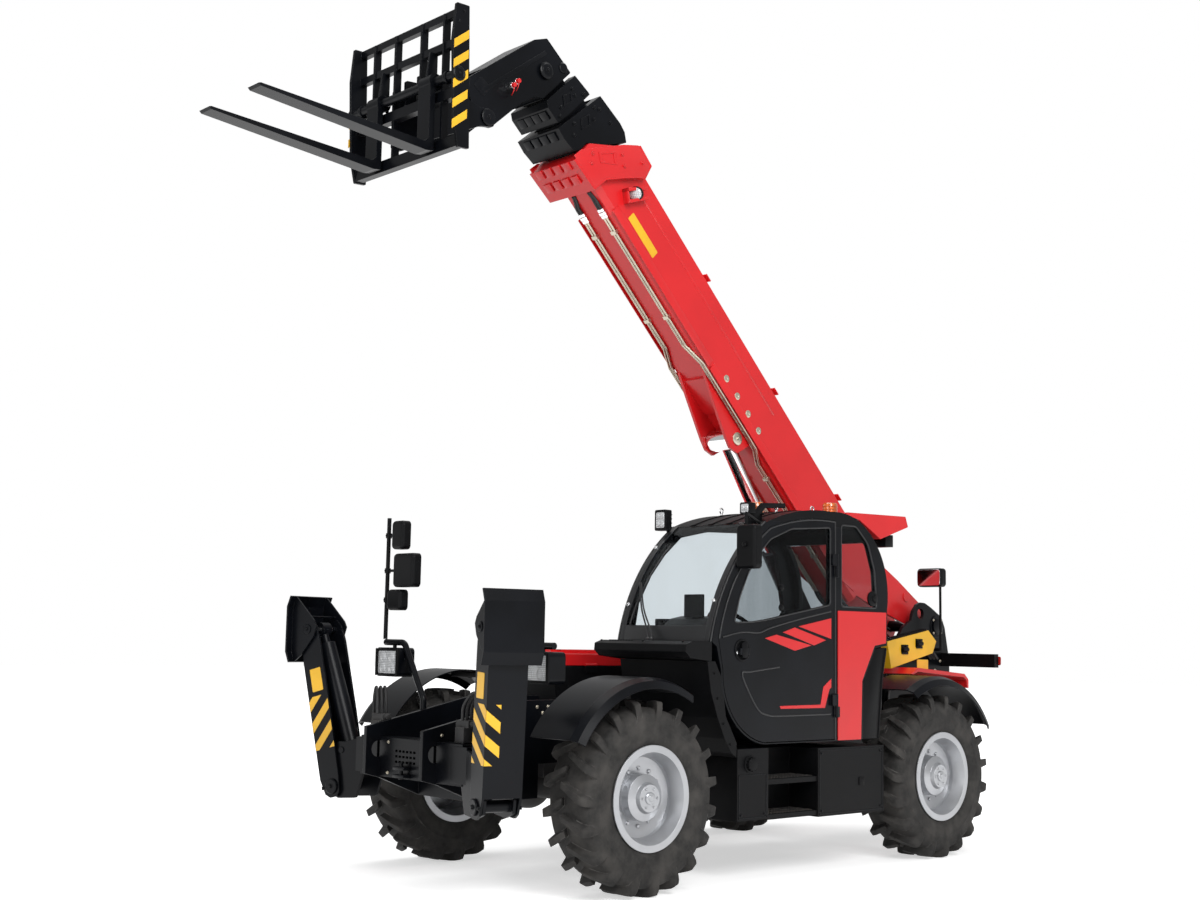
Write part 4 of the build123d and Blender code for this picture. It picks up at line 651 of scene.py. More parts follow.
def windscreen_trim():
    """Black band printed round the windscreen, the cab's rubber seals, four glass clamps and the wiper."""
    trim, seal, clamps, wiper = Shape(), Shape(), Shape(), Shape()
    band(trim, SCREEN_LINE, CAB_RIGHT + 0.02, CAB_RIGHT + 0.062, 0.006)
    band(trim, SCREEN_LINE, CAB_LEFT - 0.075, CAB_LEFT - 0.028, 0.006)
    band(trim, SCREEN_LINE[:4], CAB_RIGHT + 0.02, CAB_LEFT - 0.03, 0.005)
    trim.piece("screen_border", SEAL, bevel=0.001)
    for y in (CAB_RIGHT + 0.004, CAB_LEFT - 0.016):
        seal.tube(at_side(pushed(SCREEN_LINE, -0.002), y), 0.008, steps=1)
    seal.tube(at_side(pushed(DOOR_LINE, -0.003), CAB_LEFT + 0.001), BEAD, steps=1)
    seal.tube([(-0.322, CAB_LEFT + 0.001, z) for z in (2.53, 1.7, 0.94)], BEAD, steps=2)
    seal.piece("cab_seals", SEAL)
    for x, y, z in ((0.64, 0.262, 2.298), (0.908, 0.262, 1.88), (0.62, 1.095, 2.322), (0.898, 1.095, 1.905)):
        out = Vector((0.8, 0, 0.6)) if z > 2 else Vector((0.95, 0, 0.3))
        start = Vector((x, y, z))
        clamps.rod(start, start + out * 0.03, 0.014, sides=18)
        clamps.rod(start + out * 0.03, start + out * 0.042, 0.009, 0.006, sides=14)
    clamps.piece("glass_clamps", CHROME, bevel=0.001)
    for shift in (0.0, 0.035):
        wiper.tube([(1.06, 0.6 + shift, 1.64), (1.03, 0.56 + shift, 1.7), (0.972, 0.44 + shift * 0.6, 1.86),
                    (0.878, 0.325 + shift * 0.4, 2.045)], 0.006, steps=5)
        wiper.cap((1.06, 0.6 + shift, 1.628), UP, (0.016, 0.02, 0.01, 0.026), 20)
    blade = [(x, 0.33 + 0.012 * k, z) for k, (x, z) in enumerate(pushed(SCREEN_LINE[3:23:3], 0.014))]
    wiper.tube(blade, 0.006, steps=3)
    wiper.tube([(x - 0.006, y, z - 0.003) for x, y, z in blade], 0.004, steps=3)
    wiper.piece("screen_wiper", SEAL)


def dash_fittings():
    """Binnacle behind the screen, the small display on its stalk and the lever box beside it."""
    pod, shown, face = Shape(), Shape(), Shape()
    outline = [(0.545, 1.6), (0.86, 1.64), (0.845, 1.7), (0.72, 1.79), (0.585, 1.815), (0.55, 1.76)]
    pod.slab(round_outline(outline, 0.02), "y", 0.47, 0.92)
    pod.box((0.6, 0.7), (0.3, 0.42), (1.64, 1.79))
    pod.piece("dash_binnacle", DARK, bevel=0.008)
    shown.box((0.662, 0.69), (0.585, 0.765), (1.8, 1.965))
    shown.rod((0.68, 0.675, 1.7), (0.68, 0.675, 1.81), 0.014, sides=16)
    shown.piece("dash_display", DARK, bevel=0.006)
    face.panel((0.6, 0.75), (1.818, 1.948), 0.006, "x", 0.6605, 0.662)
    face.piece("display_glass", MIRROR)


def door_trim():
    """Red bars on the door, its window and panel seals, recessed round handle, lock and window catch."""
    bars, seal, handle, lock, pull = Shape(), Shape(), Shape(), Shape(), Shape()
    for outline in ([(0.094, 1.752), (-0.278, 1.818), (-0.278, 1.667)],
                    [(0.264, 1.707), (0.133, 1.743), (-0.217, 1.658), (-0.081, 1.618)],
                    [(0.456, 1.662), (0.333, 1.689), (-0.054, 1.618), (0.132, 1.578)],
                    [(-0.278, 1.379), (-0.189, 1.322), (-0.157, 1.194), (0.293, 1.191), (0.283, 1.171), (-0.205, 1.17),
                     (-0.258, 1.304), (-0.278, 1.316)]):
        bars.slab(outline, "y", CAB_LEFT - 0.0005, CAB_LEFT + 0.0015)
    bars.piece("door_bars", RED, "door")
    window_seal(seal, [(-0.265, 1.915), (0.46, 1.788), (0.6, 1.772), (0.775, 1.765), (0.722, 1.936), (0.64, 2.1),
                       (0.545, 2.232), (0.4, 2.362), (0.17, 2.448), (-0.265, 2.482)], CAB_LEFT + 0.001)
    for y, radius, line in (
            (0.002, BEAD, [(0.89, 1.665), (0.7, 1.7), (0.52, 1.7), (0.4, 1.735), (0.1, 1.8), (-0.27, 1.868)]),
            (0, 0.007, [(0.3, 1.463), (0.6, 1.43), (0.689, 1.418), (0.62, 1.29), (0.517, 1.165), (0.42, 1.13),
                        (0.293, 1.122), (-0.27, 1.125)])):
        seal.tube(at_side(line, CAB_LEFT + y), radius, steps=4)
    seal.piece("door_seal", SEAL, "door")
    handle.lathe([(0.078, 0), (0.078, 0.006), (0.07, 0.01), (0.062, 0.006), (0.058, 0.002), (0, 0.001)],
                 (0.69, CAB_LEFT, 1.577), LEFT, 48)
    handle.panel((0.655, 0.712), (1.525, 1.632), 0.02, "y", CAB_LEFT + 0.004, CAB_LEFT + 0.024)
    handle.piece("door_handle", DARK, "door", bevel=0.003)
    lock.lathe([(0.011, 0), (0.011, 0.004), (0, 0.005)], (0.745, CAB_LEFT + 0.004, 1.56), LEFT, 20)
    lock.piece("door_lock", CHROME, "door")
    for z in (2.02, 1.88):
        pull.lathe([(0.024, 0), (0.02, 0.014), (0.008, 0.016), (0, 0.018)], (0.28, CAB_LEFT - 0.006, z), LEFT, 24)
    pull.piece("window_catch", DARK, "door")


def quarter_trim():
    """Border and knob of the pane behind the door, and the black post below it."""
    seal, knob, post = Shape(), Shape(), Shape()
    window_seal(seal, [(-0.395, 1.905), (-0.395, 2.51), (-0.57, 2.51), (-0.715, 2.385), (-0.795, 2.18),
                       (-0.82, 1.905)], CAB_LEFT - 0.001)
    seal.piece("quarter_seal", SEAL)
    x, z = -0.772, 1.975
    knob.lathe([(0.058, 0), (0.056, 0.012), (0.04, 0.018), (0.024, 0.018), (0.02, 0.03), (0, 0.032)],
               (x, CAB_LEFT - 0.008, z), LEFT, 36)
    knob.bolts(at_side(around(x, z, 0.034, 3), CAB_LEFT + 0.01), LEFT, 0.006)
    knob.piece("quarter_knob", DARK)
    for low, high, outline in (
            (0.03, 0.006, [(-0.8, 1.6), (-0.935, 1.61), (-0.885, 1.38), (-0.838, 0.935), (-0.66, 0.935),
                           (-0.668, 1.35)]),
            (0.07, 0, [(-0.935, 1.61), (-0.945, 1.6), (-0.895, 1.375), (-0.848, 0.935), (-0.838, 0.935),
                       (-0.885, 1.38)]),
            (0.03, 0.006, [(-0.6, 0.935), (-0.66, 0.935), (-0.668, 1.35), (-0.64, 1.35)])):
        post.slab(outline, "y", CAB_LEFT - low, CAB_LEFT - high)
    post.piece("rear_post", DARK, bevel=0.002)


def roof_fittings():
    """Work lamps on their stalks, beacons, rear lamp, the bracket over the door, lifting eyes and roof ribs."""
    housings, glow, eyes, ribs = Shape(), Shape(), Shape(), Shape()
    for y, z, half, tall in ((0.224, 2.523, 0.06, 0.078), (1.066, 2.572, 0.048, 0.042)):
        housings.panel((y - half, y + half), (z - tall, z + tall), 0.014, "x", 0.52, 0.58)
        housings.rod((0.48, y, 2.425), (0.545, y, z - 0.02), 0.012)
        for k in range(4):
            low = z - tall * 0.7 + 0.4 * tall * k
            housings.box((0.504, 0.522), (y - half + 0.01, y + half - 0.01), (low, low + 0.008))
    for place in ((0.4, 1.01, 2.52), (-0.82, 0.7, 2.62)):
        housings.lathe([(0.045, -0.06), (0.045, 0.018), (0.06, 0.02), (0.06, 0.032), (0.05, 0.034)], place, UP, 36)
        glow.lathe([(0.05, 0.033), (0.058, 0.036), (0.0575, 0.05), (0.0595, 0.053), (0.0575, 0.056),
                    (0.0575, 0.074), (0.0595, 0.077), (0.0575, 0.08), (0.056, 0.098), (0.048, 0.107), (0.02, 0.11),
                    (0, 0.11)], place, UP, 48)
    housings.box((-1.11, -1.015), (0.96, 1.09), (2.385, 2.478))
    housings.slab([(0.6, 2.33), (0.565, 2.5), (0.42, 2.62), (0.16, 2.635), (0.16, 2.6), (0.38, 2.585), (0.5, 2.47),
                   (0.55, 2.33)], "y", 1.072, 1.082)
    roof = housings.piece("roof_lamps", DARK, bevel=0.002)
    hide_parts("lamps")
    glow.piece("beacon_domes", AMBER)
    for y in (0.9, 0.35):
        for x, z in ((0.05, 2.585), (-0.36, 2.6)):
            eyes.rod((x, y, z - 0.012), (x, y, z + 0.02), 0.01, sides=14)
            loop = [(x + 0.018 * s, y, z + 0.038 - 0.018 * c) for c, s in circle(12)]
            eyes.tube(loop + loop[:1], 0.0055, steps=2)
    eyes.piece("roof_eyes", CHROME)
    for y in (0.4, 0.58, 0.76, 0.94):
        band(ribs, arc((0.44, 2.48), (0.11, 2.575), (-0.3, 2.6), 12), y, y + 0.04, 0.007)
    ribs.piece("roof_ribs", DARK, bevel=0.002)


def lamp_lens(shape, place, way, wide, tall, columns, rows):
    """Lens block of a lamp that faces forwards or back: clear cells on a thin plate."""
    axis, at = Vector((way, 0, 0)), Vector(place)
    across = UP.cross(axis).normalized()
    w, t = wide / columns, tall / rows
    r = min(w, t)
    for i in range(columns):
        for j in range(rows):
            centre = at + across * ((i + 0.5) * w - wide / 2) + UP * ((j + 0.5) * t - tall / 2)
            shape.lathe([(0.48 * r, 0.0), (0.48 * r, 0.004), (0.36 * r, 0.009), (0, 0.011)], centre, axis, 24)
    loop = round_outline(rectangle((-wide / 2, wide / 2), (-tall / 2, tall / 2)), 0.014)
    shape.skin([[at + across * a + UP * b + axis * d for a, b in loop] for d in (0.0, 0.003)])


HEAD_LAMPS = (-0.755, 0.86)     # how far the head lamps are from the middle


def lamps():
    """Clear lenses of the head and work lamps, the rims and fins of the head lamps, and the red rear lenses."""
    lens, rims, rear = Shape(), Shape(), Shape()
    for place, way, wide, tall, columns, rows in (
            *(((2.31, y, 1.4465), 1, 0.215, 0.158, 2, 2) for y in HEAD_LAMPS),
            ((0.58, 0.224, 2.523), 1, 0.085, 0.115, 2, 2), ((0.58, 1.066, 2.572), 1, 0.07, 0.06, 2, 1),
            ((-1.11, 1.025, 2.4275), -1, 0.11, 0.07, 2, 1)):
        lamp_lens(lens, place, way, wide, tall, columns, rows)
    lens.piece("lamp_lenses", CLEAR)
    for y in HEAD_LAMPS:
        for a, b, low, high in ((-0.135, -0.11, 1.351, 1.542), (0.11, 0.135, 1.351, 1.542), (-0.11, 0.11, 1.351, 1.36),
                                (-0.11, 0.11, 1.533, 1.542)):
            rims.box((2.306, 2.322), (y + a, y + b), (low, high))
        for k in range(6):
            rims.box((2.15, 2.176), (y - 0.1, y + 0.1), (1.375 + 0.025 * k, 1.385 + 0.025 * k))
    rims.piece("lamp_rims", DARK, bevel=0.003)
    for s in (1, -1):
        for k in range(3):
            y = s * (0.8 - 0.145 * k)
            rear.panel((y - 0.062, y + 0.062), (1.475, 1.55), 0.015, "x", -2.9375, -2.929)
    rear.piece("rear_lenses", RED_LENS, bevel=0.002)


# ---------------------------------------------------------------- seat, mirrors
PAD_CUTS, PUFF = 22, 0.03
SEAM_WIDE, SEAM_DEEP = 0.035, 0.01


def cushion(name, x, y, z, tilt, seams):
    """Crowned cushion with sewn channels: its faces swell between the edges and pull in at the seams."""
    low, high = (Vector(corner) for corner in zip(x, y, z))
    centre, half = (low + high) / 2, (high - low) / 2
    thin = min(range(3), key=lambda k: half[k])
    bm = bmesh.new()
    bmesh.ops.create_cube(bm, size=2.0)
    bmesh.ops.subdivide_edges(bm, edges=bm.edges, cuts=PAD_CUTS, use_grid_fill=True)
    turn = Matrix.Rotation(math.radians(tilt), 4, "Y")
    for vert in bm.verts:
        a, b, c = vert.co
        # pull the corners in to a rounded pad
        swell = PUFF * (1 - a ** 4) * (1 - b ** 4) * (1 - c ** 4 * 0.2)
        unit = Vector((a, b, c)) / (abs(a) ** 6 + abs(b) ** 6 + abs(c) ** 6) ** (1 / 6)
        groove = sum(math.exp(-((b - s) / SEAM_WIDE) ** 2) for s in seams) * SEAM_DEEP
        local = Vector([unit[k] * (half[k] - PUFF * 0.5) for k in range(3)])
        if abs(unit[thin]) > 0.6:
            local[thin] += math.copysign(max(swell * 0.5 - groove, -0.008), unit[thin])
        vert.co = MACHINE @ (centre + turn @ local)
    thing = hand_over(bm, name, "chassis", CLOTH)
    return thing


def operator_seat():
    """Suspension base with its bellows, the back shell, and the seat and back cushions."""
    base = Shape()
    base.box((-0.36, 0.0), (0.56, 0.86), (0.972, 1.0))
    for k in range(6):
        grow = 0.012 * (k % 2)
        base.box((-0.34 - grow, -0.02 + grow), (0.58 - grow, 0.84 + grow), (1.0 + 0.03 * k, 1.03 + 0.03 * k))
    base.box((-0.4, 0.04), (0.53, 0.89), (1.18, 1.235))
    base.box((-0.455, -0.425), (0.6, 0.82), (1.22, 1.86))
    base.piece("seat_base", DARK, bevel=0.004)
    low = cushion("seat_cushion", (-0.42, 0.08), (0.49, 0.93), (1.235, 1.365), 0, (-0.55, 0.55))
    cushion("seat_back", (-0.455, -0.345), (0.5, 0.92), (1.33, 1.9), -10, (-0.5, 0.5))
    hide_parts("seat")


def mirror_faces():
    """Silvered faces of the five mirrors and the clamps on their posts."""
    glass, clamps = Shape(), Shape()
    rim = 0.012
    for x, (y0, y1), (z0, z1) in (
            (2.215, (-0.795, -0.655), (2.245, 2.45)), (2.215, (-0.765, -0.52), (1.975, 2.215)),
            (2.215, (-0.83, -0.665), (1.812, 1.96)), (0.7, (1.155, 1.335), (2.135, 2.44)),
            (-2.64, (0.2, 0.46), (2.143, 2.306))):
        glass.panel((y0 + rim, y1 - rim), (z0 + rim, z1 - rim), 0.026, "x", x - 0.0015, x + 0.001)
    glass.piece("mirror_faces", MIRROR)
    for z in (2.3475, 2.095, 1.886):
        clamps.lathe([(0.022, -0.018), (0.022, 0.018)], (2.25, -0.875, z), UP, 20)
        clamps.bolt((2.272, -0.875, z), FORWARD, 0.006)
    clamps.lathe([(0.02, 0), (0.018, 0.012), (0.008, 0.016), (0, 0.016)], (0.775, 1.245, 2.3), FORWARD, 20)
    clamps.piece("mirror_clamps", DARK, bevel=0.001)


# ---------------------------------------------------------------- boom
INSET = 0.28                 # how far a collar's raised frame reaches in to its middle


def collar_fittings(name, body, material, half, bolts, outline, low_rows):
    """Bolts of the wear pads, the raised frame between them and the pad blocks under a collar."""
    shape, blocks = Shape(BOOM_FRAME), Shape(BOOM_FRAME)
    middle = sum((Vector(p) for p in outline), Vector((0, 0))) / len(outline)
    inner = [tuple(Vector(p) * (1 - INSET) + middle * INSET) for p in outline]
    for s in (1, -1):
        shape.bolts([(u, s * half, v) for u, v in bolts], (0, s, 0), 0.013)
    for k in range(len(outline)):
        j = (k + 1) % len(outline)
        shape.both([outline[k], outline[j], inner[j], inner[k]], half, half + 0.006)
    for u, v in low_rows:
        for y in (-0.6, -0.2, 0.2, 0.6):
            shape.bolt((u, y * half, v), (0, 0, -1), 0.011)
            blocks.box((u - 0.035, u + 0.035), (y * half - 0.036, y * half + 0.036), (v - 0.012, v + 0.004))
    shape.piece(f"{name}_bolts", material, body)
    blocks.piece(f"{name}_pads", material, body, bevel=0.002)


def boom_sides():
    """Plates and pipe covers on the sides of the outer boom, and its plugs and lower pin."""
    red, plugs = Shape(BOOM_FRAME), Shape(BOOM_FRAME)
    red.both([(5.4, -0.665), (5.392, -0.574), (5.185, -0.18), (5.098, -0.052), (4.92, -0.062), (4.873, -0.152),
              (4.98, -0.33), (5.103, -0.505), (5.116, -0.655)], 0.2475, 0.2515)
    red.both([(3.39, -0.5), (4.86, -0.5), (4.86, -0.575), (3.39, -0.575)], 0.1895, 0.196)
    red.both([(0.9, -0.5), (3.36, -0.5), (3.36, -0.575), (1.15, -0.575)], 0.1895, 0.196)
    red.both([(2.62, -0.225), (4.8, -0.225), (4.8, -0.247), (2.62, -0.247)], 0.1895, 0.1915)
    for k in range(3):
        red.box((1.55 + 1.15 * k, 1.62 + 1.15 * k), (-0.188, 0.188), (-0.0705, -0.062))
    red.piece("boom_side_plates", RED, "boom", bevel=0.0015)
    for s in (1, -1):
        for u in (3.186, 3.007, 2.825, 2.649):
            plugs.lathe([(0.03, 0), (0.03, 0.004), (0.022, 0.007), (0.012, 0.007), (0.01, 0.003), (0, 0.003)],
                        (u, s * 0.19, -0.473), (0, s, 0), 28)
        plugs.cap((2.735, s * 0.143, -0.672), (0, s, 0), (0.052, 0.008, 0.044, 0.012))
        plugs.bolt((2.735, s * 0.155, -0.672), (0, s, 0), 0.013)
    plugs.piece("boom_plugs", STEEL, "boom")


def boom_pipe_fittings():
    """Couplings and clamps of the pipes under the boom, and the hoses at both of their ends."""
    couplings, hoses = Shape(BOOM_FRAME), Shape(BOOM_FRAME)
    v = -0.594      # height of the pipes
    for y in (-0.092, -0.118, 0.092, 0.118):
        for u, r, sides in ((4.845, 0.016, 6), (4.872, 0.019, 6), (4.9, 0.016, 6),
                            *((u, 0.0135, 16) for u in (4.7, 3.9, 2.25, 1.4))):
            couplings.rod((u - 0.012, y, v), (u + 0.012, y, v), r, sides=sides)
        hoses.tube([(4.905, y, v), (4.96, y, v), (5.01, y * 0.9, -0.582), (5.06, y * 0.8, -0.581)], 0.011)
        hoses.tube([(1.0, y, v), (0.9, y, -0.6), (0.72, y, -0.56), (0.55, y * 0.9, -0.46), (0.42, y * 0.7, -0.36),
                    (0.22, y * 0.6, -0.26)], 0.011)
    couplings.piece("pipe_couplings", CHROME, "boom")
    hoses.piece("boom_hoses", HOSE, "boom")


def boom_light_and_sign():
    """Work light under the collar of the outer boom, in its bracket, and the bare yellow plates behind it."""
    light, lens, bracket, sign = (Shape(BOOM_FRAME) for _ in range(4))
    for outline in ([(4.925, -0.375), (4.82, -0.2), (4.8, -0.215), (4.905, -0.39)],
                    [(4.85, -0.425), (4.755, -0.235), (4.735, -0.25), (4.832, -0.44)],
                    [(4.925, -0.375), (4.905, -0.39), (4.832, -0.44), (4.85, -0.425)]):
        bracket.slab(outline, "y", 0.19, 0.262)
    bracket.piece("light_bracket", RED, "boom", bevel=0.002)
    place, way = (4.835, 0.232, -0.315), (0.35, 0.55, -0.75)
    light.lathe([(0.05, -0.03), (0.056, -0.01), (0.056, 0.022), (0.05, 0.026)], place, way, 36)
    light.piece("boom_light", DARK, "boom", bevel=0.001)
    lens.lathe([(0.046, 0.026), (0.04, 0.031), (0.02, 0.034), (0, 0.035)], place, way, 36)
    lens.piece("boom_light_lens", CLEAR, "boom")
    sign.both(round_outline([(4.731, -0.478), (4.731, -0.4), (4.36, -0.4), (4.36, -0.478)], 0.01), 0.1897, 0.1915)
    sign.piece("boom_sign", YELLOW, "boom")


def boom_head():
    """Pin caps and plates on the boom head, and its hydraulic couplers with their red caps."""
    head, quick, caps = Shape(BOOM_FRAME), Shape(BOOM_FRAME), Shape(BOOM_FRAME)
    for s in (1, -1):
        head.lathe([(0.062, 0), (0.062, 0.006), (0.05, 0.01), (0.046, 0.016), (0.03, 0.018), (0, 0.018)],
                   (5.978, s * 0.186, -0.401), (0, s, 0), 36)
        head.bolt((5.978, s * 0.204, -0.401), (0, s, 0), 0.013)
        head.cap((5.905, s * 0.17, -0.232), (0, s, 0), (0.04, 0.005, 0.032, 0.01), 28)
        head.cap((6.02, s * 0.212, -1.13), (0, s, 0), (0.06, 0.006, 0.05, 0.01), 36)
        head.bolt((6.02, s * 0.222, -1.13), (0, s, 0), 0.013)
    head.both([(6.06, -0.3), (6.09, -0.3), (6.19, -1.0), (6.16, -1.0)], 0.1695, 0.174)
    head.both(round_outline([(6.15, -0.93), (6.26, -0.95), (6.25, -1.05), (6.14, -1.03)], 0.02), 0.1695, 0.173)
    head.piece("head_fittings", BLACK, "head_section", bevel=0.0015)
    u = 6.075
    for v in (-0.745, -0.8):
        quick.rod((u, 0.17, v), (u, 0.225, v), 0.017, sides=18)
        quick.rod((u, 0.225, v), (u, 0.24, v), 0.021, sides=18)
        caps.rod((u, 0.24, v), (u, 0.262, v), 0.019, 0.016, sides=18)
        caps.tube([(u, 0.25, v), (6.05, 0.252, v - 0.03), (6.03, 0.22, v - 0.035), (6.02, 0.19, v - 0.02)], 0.004)
    quick.piece("head_couplers", CHROME, "head_section", bevel=0.001)
    caps.piece("coupler_caps", RED, "head_section")


def boom_fittings():
    """What is bolted to the collars, the sides, the pipes and the head of the boom."""
    collar_fittings("base_collar", "boom", RED, 0.25,
                    [(5.311, -0.501), (5.262, -0.56), (5.14, -0.247), (5.063, -0.29), (4.973, -0.11)],
                    [(5.284, -0.445), (5.192, -0.291), (5.11, -0.347), (5.215, -0.48)], [(5.34, -0.69), (5.22, -0.683)])
    collar_fittings("second_collar", "second_section", BLACK, 0.23,
                    [(5.547, -0.225), (5.506, -0.19), (5.562, -0.483), (5.5, -0.54), (5.48, -0.29), (5.372, -0.165)],
                    [(5.554, -0.4), (5.537, -0.303), (5.465, -0.35), (5.49, -0.452)], [(5.57, -0.641)])
    collar_fittings("third_collar", "third_section", BLACK, 0.205,
                    [(5.755, -0.298), (5.705, -0.305), (5.712, -0.486), (5.668, -0.54), (5.664, -0.225)],
                    [(5.766, -0.412), (5.742, -0.324), (5.679, -0.361), (5.702, -0.455)], [(5.725, -0.5925)])
    boom_sides()
    boom_pipe_fittings()
    boom_light_and_sign()
    boom_head()


# ---------------------------------------------------------------- carriage
TILT_PIN = (2.86, 5.269)     # place of the carriage's pin in the side view


def carriage_fittings():
    """Hazard bands and pin caps on the side plates, gussets and foot of the lattice."""
    bands, caps = Shape(), Shape()
    x, z = TILT_PIN
    for k in range(5):
        low = 4.9 + 0.135 * k
        bands.both([(2.785, low + 0.085), (2.905, low - 0.01), (2.905, low + 0.05), (2.785, low + 0.145)],
                   0.5995, 0.6015)
    bands.piece("carriage_bands", YELLOW, "carriage")
    for s in (1, -1):
        caps.lathe([(0.05, 0), (0.05, 0.006), (0.038, 0.01), (0.034, 0.007), (0, 0.007)],
                   (x, s * 0.602, z), (0, s, 0), 36)
        caps.bolt((x, s * 0.609, z), (0, s, 0), 0.01)
        for y in (0.3, 0.49):
            caps.lathe([(0.044, -0.012), (0.044, 0.012)], (x, s * y, z), LEFT, 28)
        caps.bolts([(2.83, s * 0.6, 5.7), (2.87, s * 0.6, 5.62)], (0, s, 0), 0.009)
    for y in (-0.275, 0.275):
        caps.slab([(2.8, 5.5), (2.86, 5.5), (2.885, 5.33), (2.8, 5.2)], "y", y - 0.008, y + 0.008)
    for y in (-0.41, 0.41, 0.0):
        caps.slab([(2.8, 5.205), (2.855, 5.205), (2.8, 5.13)], "y", y - 0.01, y + 0.01)
    caps.piece("carriage_caps", BLACK, "carriage", bevel=0.001)


# ---------------------------------------------------------------- chassis
def step_fittings():
    """Grip teeth on the rungs, fuel cap, locker latch, lid seams and bolts under the cab."""
    teeth, cap, seams = Shape(), Shape(), Shape()
    for z in (0.448, 0.688):
        for k in range(17):
            x = -0.105 + 0.031 * k
            for y in (0.9, 0.98, 1.06):
                teeth.box((x, x + 0.012), (y, y + 0.055), (z, z + 0.006))
    teeth.piece("rung_teeth", CAST, bevel=0.0008)
    x, z = 0.6, 0.8
    cap.lathe([(0.06, 0), (0.06, 0.006), (0.046, 0.008), (0.044, 0.028), (0.038, 0.034), (0, 0.034)],
              (x, CAB_LEFT, z), LEFT, 36)
    for a, b in around(x, z, 0.045, 12):
        cap.rod((a, 1.158, b), (a, 1.182, b), 0.005, sides=8)
    cap.panel((-0.66, -0.6), (0.6, 0.66), 0.01, "y", 1.149, 1.156)
    cap.piece("fuel_cap", DARK, bevel=0.001)
    wide = 0.006
    for x0, x1, z0, z1 in ((-0.885, -0.145, 0.415, 0.87), (0.425, 0.715, 0.435, 0.73)):
        for across, upright in (((x0, x1), (z0, z0 + wide)), ((x0, x1), (z1 - wide, z1)),
                                ((x0, x0 + wide), (z0, z1)), ((x1 - wide, x1), (z0, z1))):
            seams.box(across, (1.1495, 1.1525), upright)
    seams.bolts(at_side([(-0.86, 0.44), (-0.86, 0.845), (-0.17, 0.44), (-0.17, 0.845), (0.45, 0.46), (0.69, 0.46)],
                        CAB_LEFT), LEFT, 0.008)
    seams.piece("locker_seams", BLACK)


BOOM_PIN = (-2.81, 1.8)      # place of the boom's pin in the side view


def nose_fittings():
    """Bolts on the frame plates, caps of the boom's pin, the tow pin, and the legs' valve blocks with their hoses."""
    bolts, caps, block, hoses, tow = Shape(), Shape(), Shape(), Shape(), Shape()
    x, z = BOOM_PIN
    for s, y in ((1, 0.29), (-1, -0.37)):
        bolts.bolts(at_side([(2.2, 0.8), (2.2, 0.92), (2.32, 0.8), (2.32, 0.92), (2.45, 1.04), (2.6, 1.0), (1.7, 1.17),
                             (1.8, 1.17), (1.75, 1.13)], y), (0, s, 0), 0.01)
        caps.cap((x, y + s * 0.012, z), (0, s, 0), (0.07, 0.01, 0.058, 0.014), 40)
        bolts.bolts(at_side(around(x, z, 0.078, 4, 0.5), y + s * 0.008), (0, s, 0), 0.009)
        bolts.bolts(at_side([(-2.45, 1.6), (-2.45, 1.7), (-2.86, 1.6), (-2.86, 1.5), (-2.62, 1.42), (-2.78, 1.42)], y),
                    (0, s, 0), 0.011)
    bolts.bolts([(2.64, y, z) for y in (-0.24, 0.16) for z in (0.73, 0.93)], FORWARD, 0.009)
    bolts.piece("frame_bolts", STEEL)
    caps.piece("pivot_caps", BLACK)
    for s in (1, -1):
        y = s * 0.47
        block.box((2.49, 2.6), (y - 0.045, y + 0.045), (0.962, 1.06))
        block.box((2.51, 2.58), (y - 0.065, y + 0.065), (1.06, 1.105))
        block.rod((2.545, y - 0.085, 1.085), (2.545, y + 0.085, 1.085), 0.02, sides=6)
        for k in range(3):
            x = 2.505 + 0.035 * k
            hoses.tube([(x - back, y + s * out, z) for back, out, z in (
                (0, 0, 1.105), (0, 0.01, 1.2), (0.03, 0.07, 1.28), (0.05, 0.12, 1.2), (0.06, 0.13, 1.05),
                (0.05, 0.07, 0.98))], 0.011)
    block.piece("leg_valves", CAST, bevel=0.002)
    hoses.piece("leg_hoses", HOSE)
    for z in (0.762, 0.712):
        tow.box((2.64, 2.7), (-0.1, 0.02), (z, z + 0.02))
    tow.rod((2.675, -0.04, 0.7), (2.675, -0.04, 0.81), 0.014, sides=16)
    tow.piece("tow_pin", BLACK, bevel=0.001)


def prop_fittings():
    """Black clamps through the stored prop, its ribbed pad and a bare plate below it; hoses up the tower."""
    clamps, plate, pipes = Shape(), Shape(), Shape()
    for x, z in ((-2.19, 1.62), (-1.99, 1.57)):
        for low, high in ((-0.012, 0.006), (0.05, 0.066)):
            clamps.box((x + 0.006, x + 0.089), (0.5, 0.592), (z + low, z + high))
        clamps.rod((x + 0.012, 0.586, z + 0.028), (x + 0.083, 0.586, z + 0.028), 0.021)
        clamps.bolt((x + 0.047, 0.592, z + 0.058), LEFT, 0.007)
    for k in range(22):
        x = -2.26 + 0.025 * k
        z = 1.762 - 0.175 * (x + 2.28)
        clamps.box((x, x + 0.014), (0.515, 0.578), (z - 0.004, z + 0.014))
    clamps.piece("prop_clamps", DARK, bevel=0.0015)
    plate.panel((-2.284, -2.13), (1.42, 1.515), 0.01, "y", 0.57, 0.574)
    plate.piece("prop_plate", YELLOW)
    for k in range(4):
        pipes.tube(at_side([(-1.95, 1.02), (-2.02, 1.3), (-2.13, 1.56), (-2.3, 1.68), (-2.48, 1.66), (-2.6, 1.6),
                            (-2.7, 1.52)], 0.27 + 0.035 * k), 0.012)
    pipes.piece("tower_hoses", HOSE)


POD_SIDE = -1.15             # outer face of the engine housing


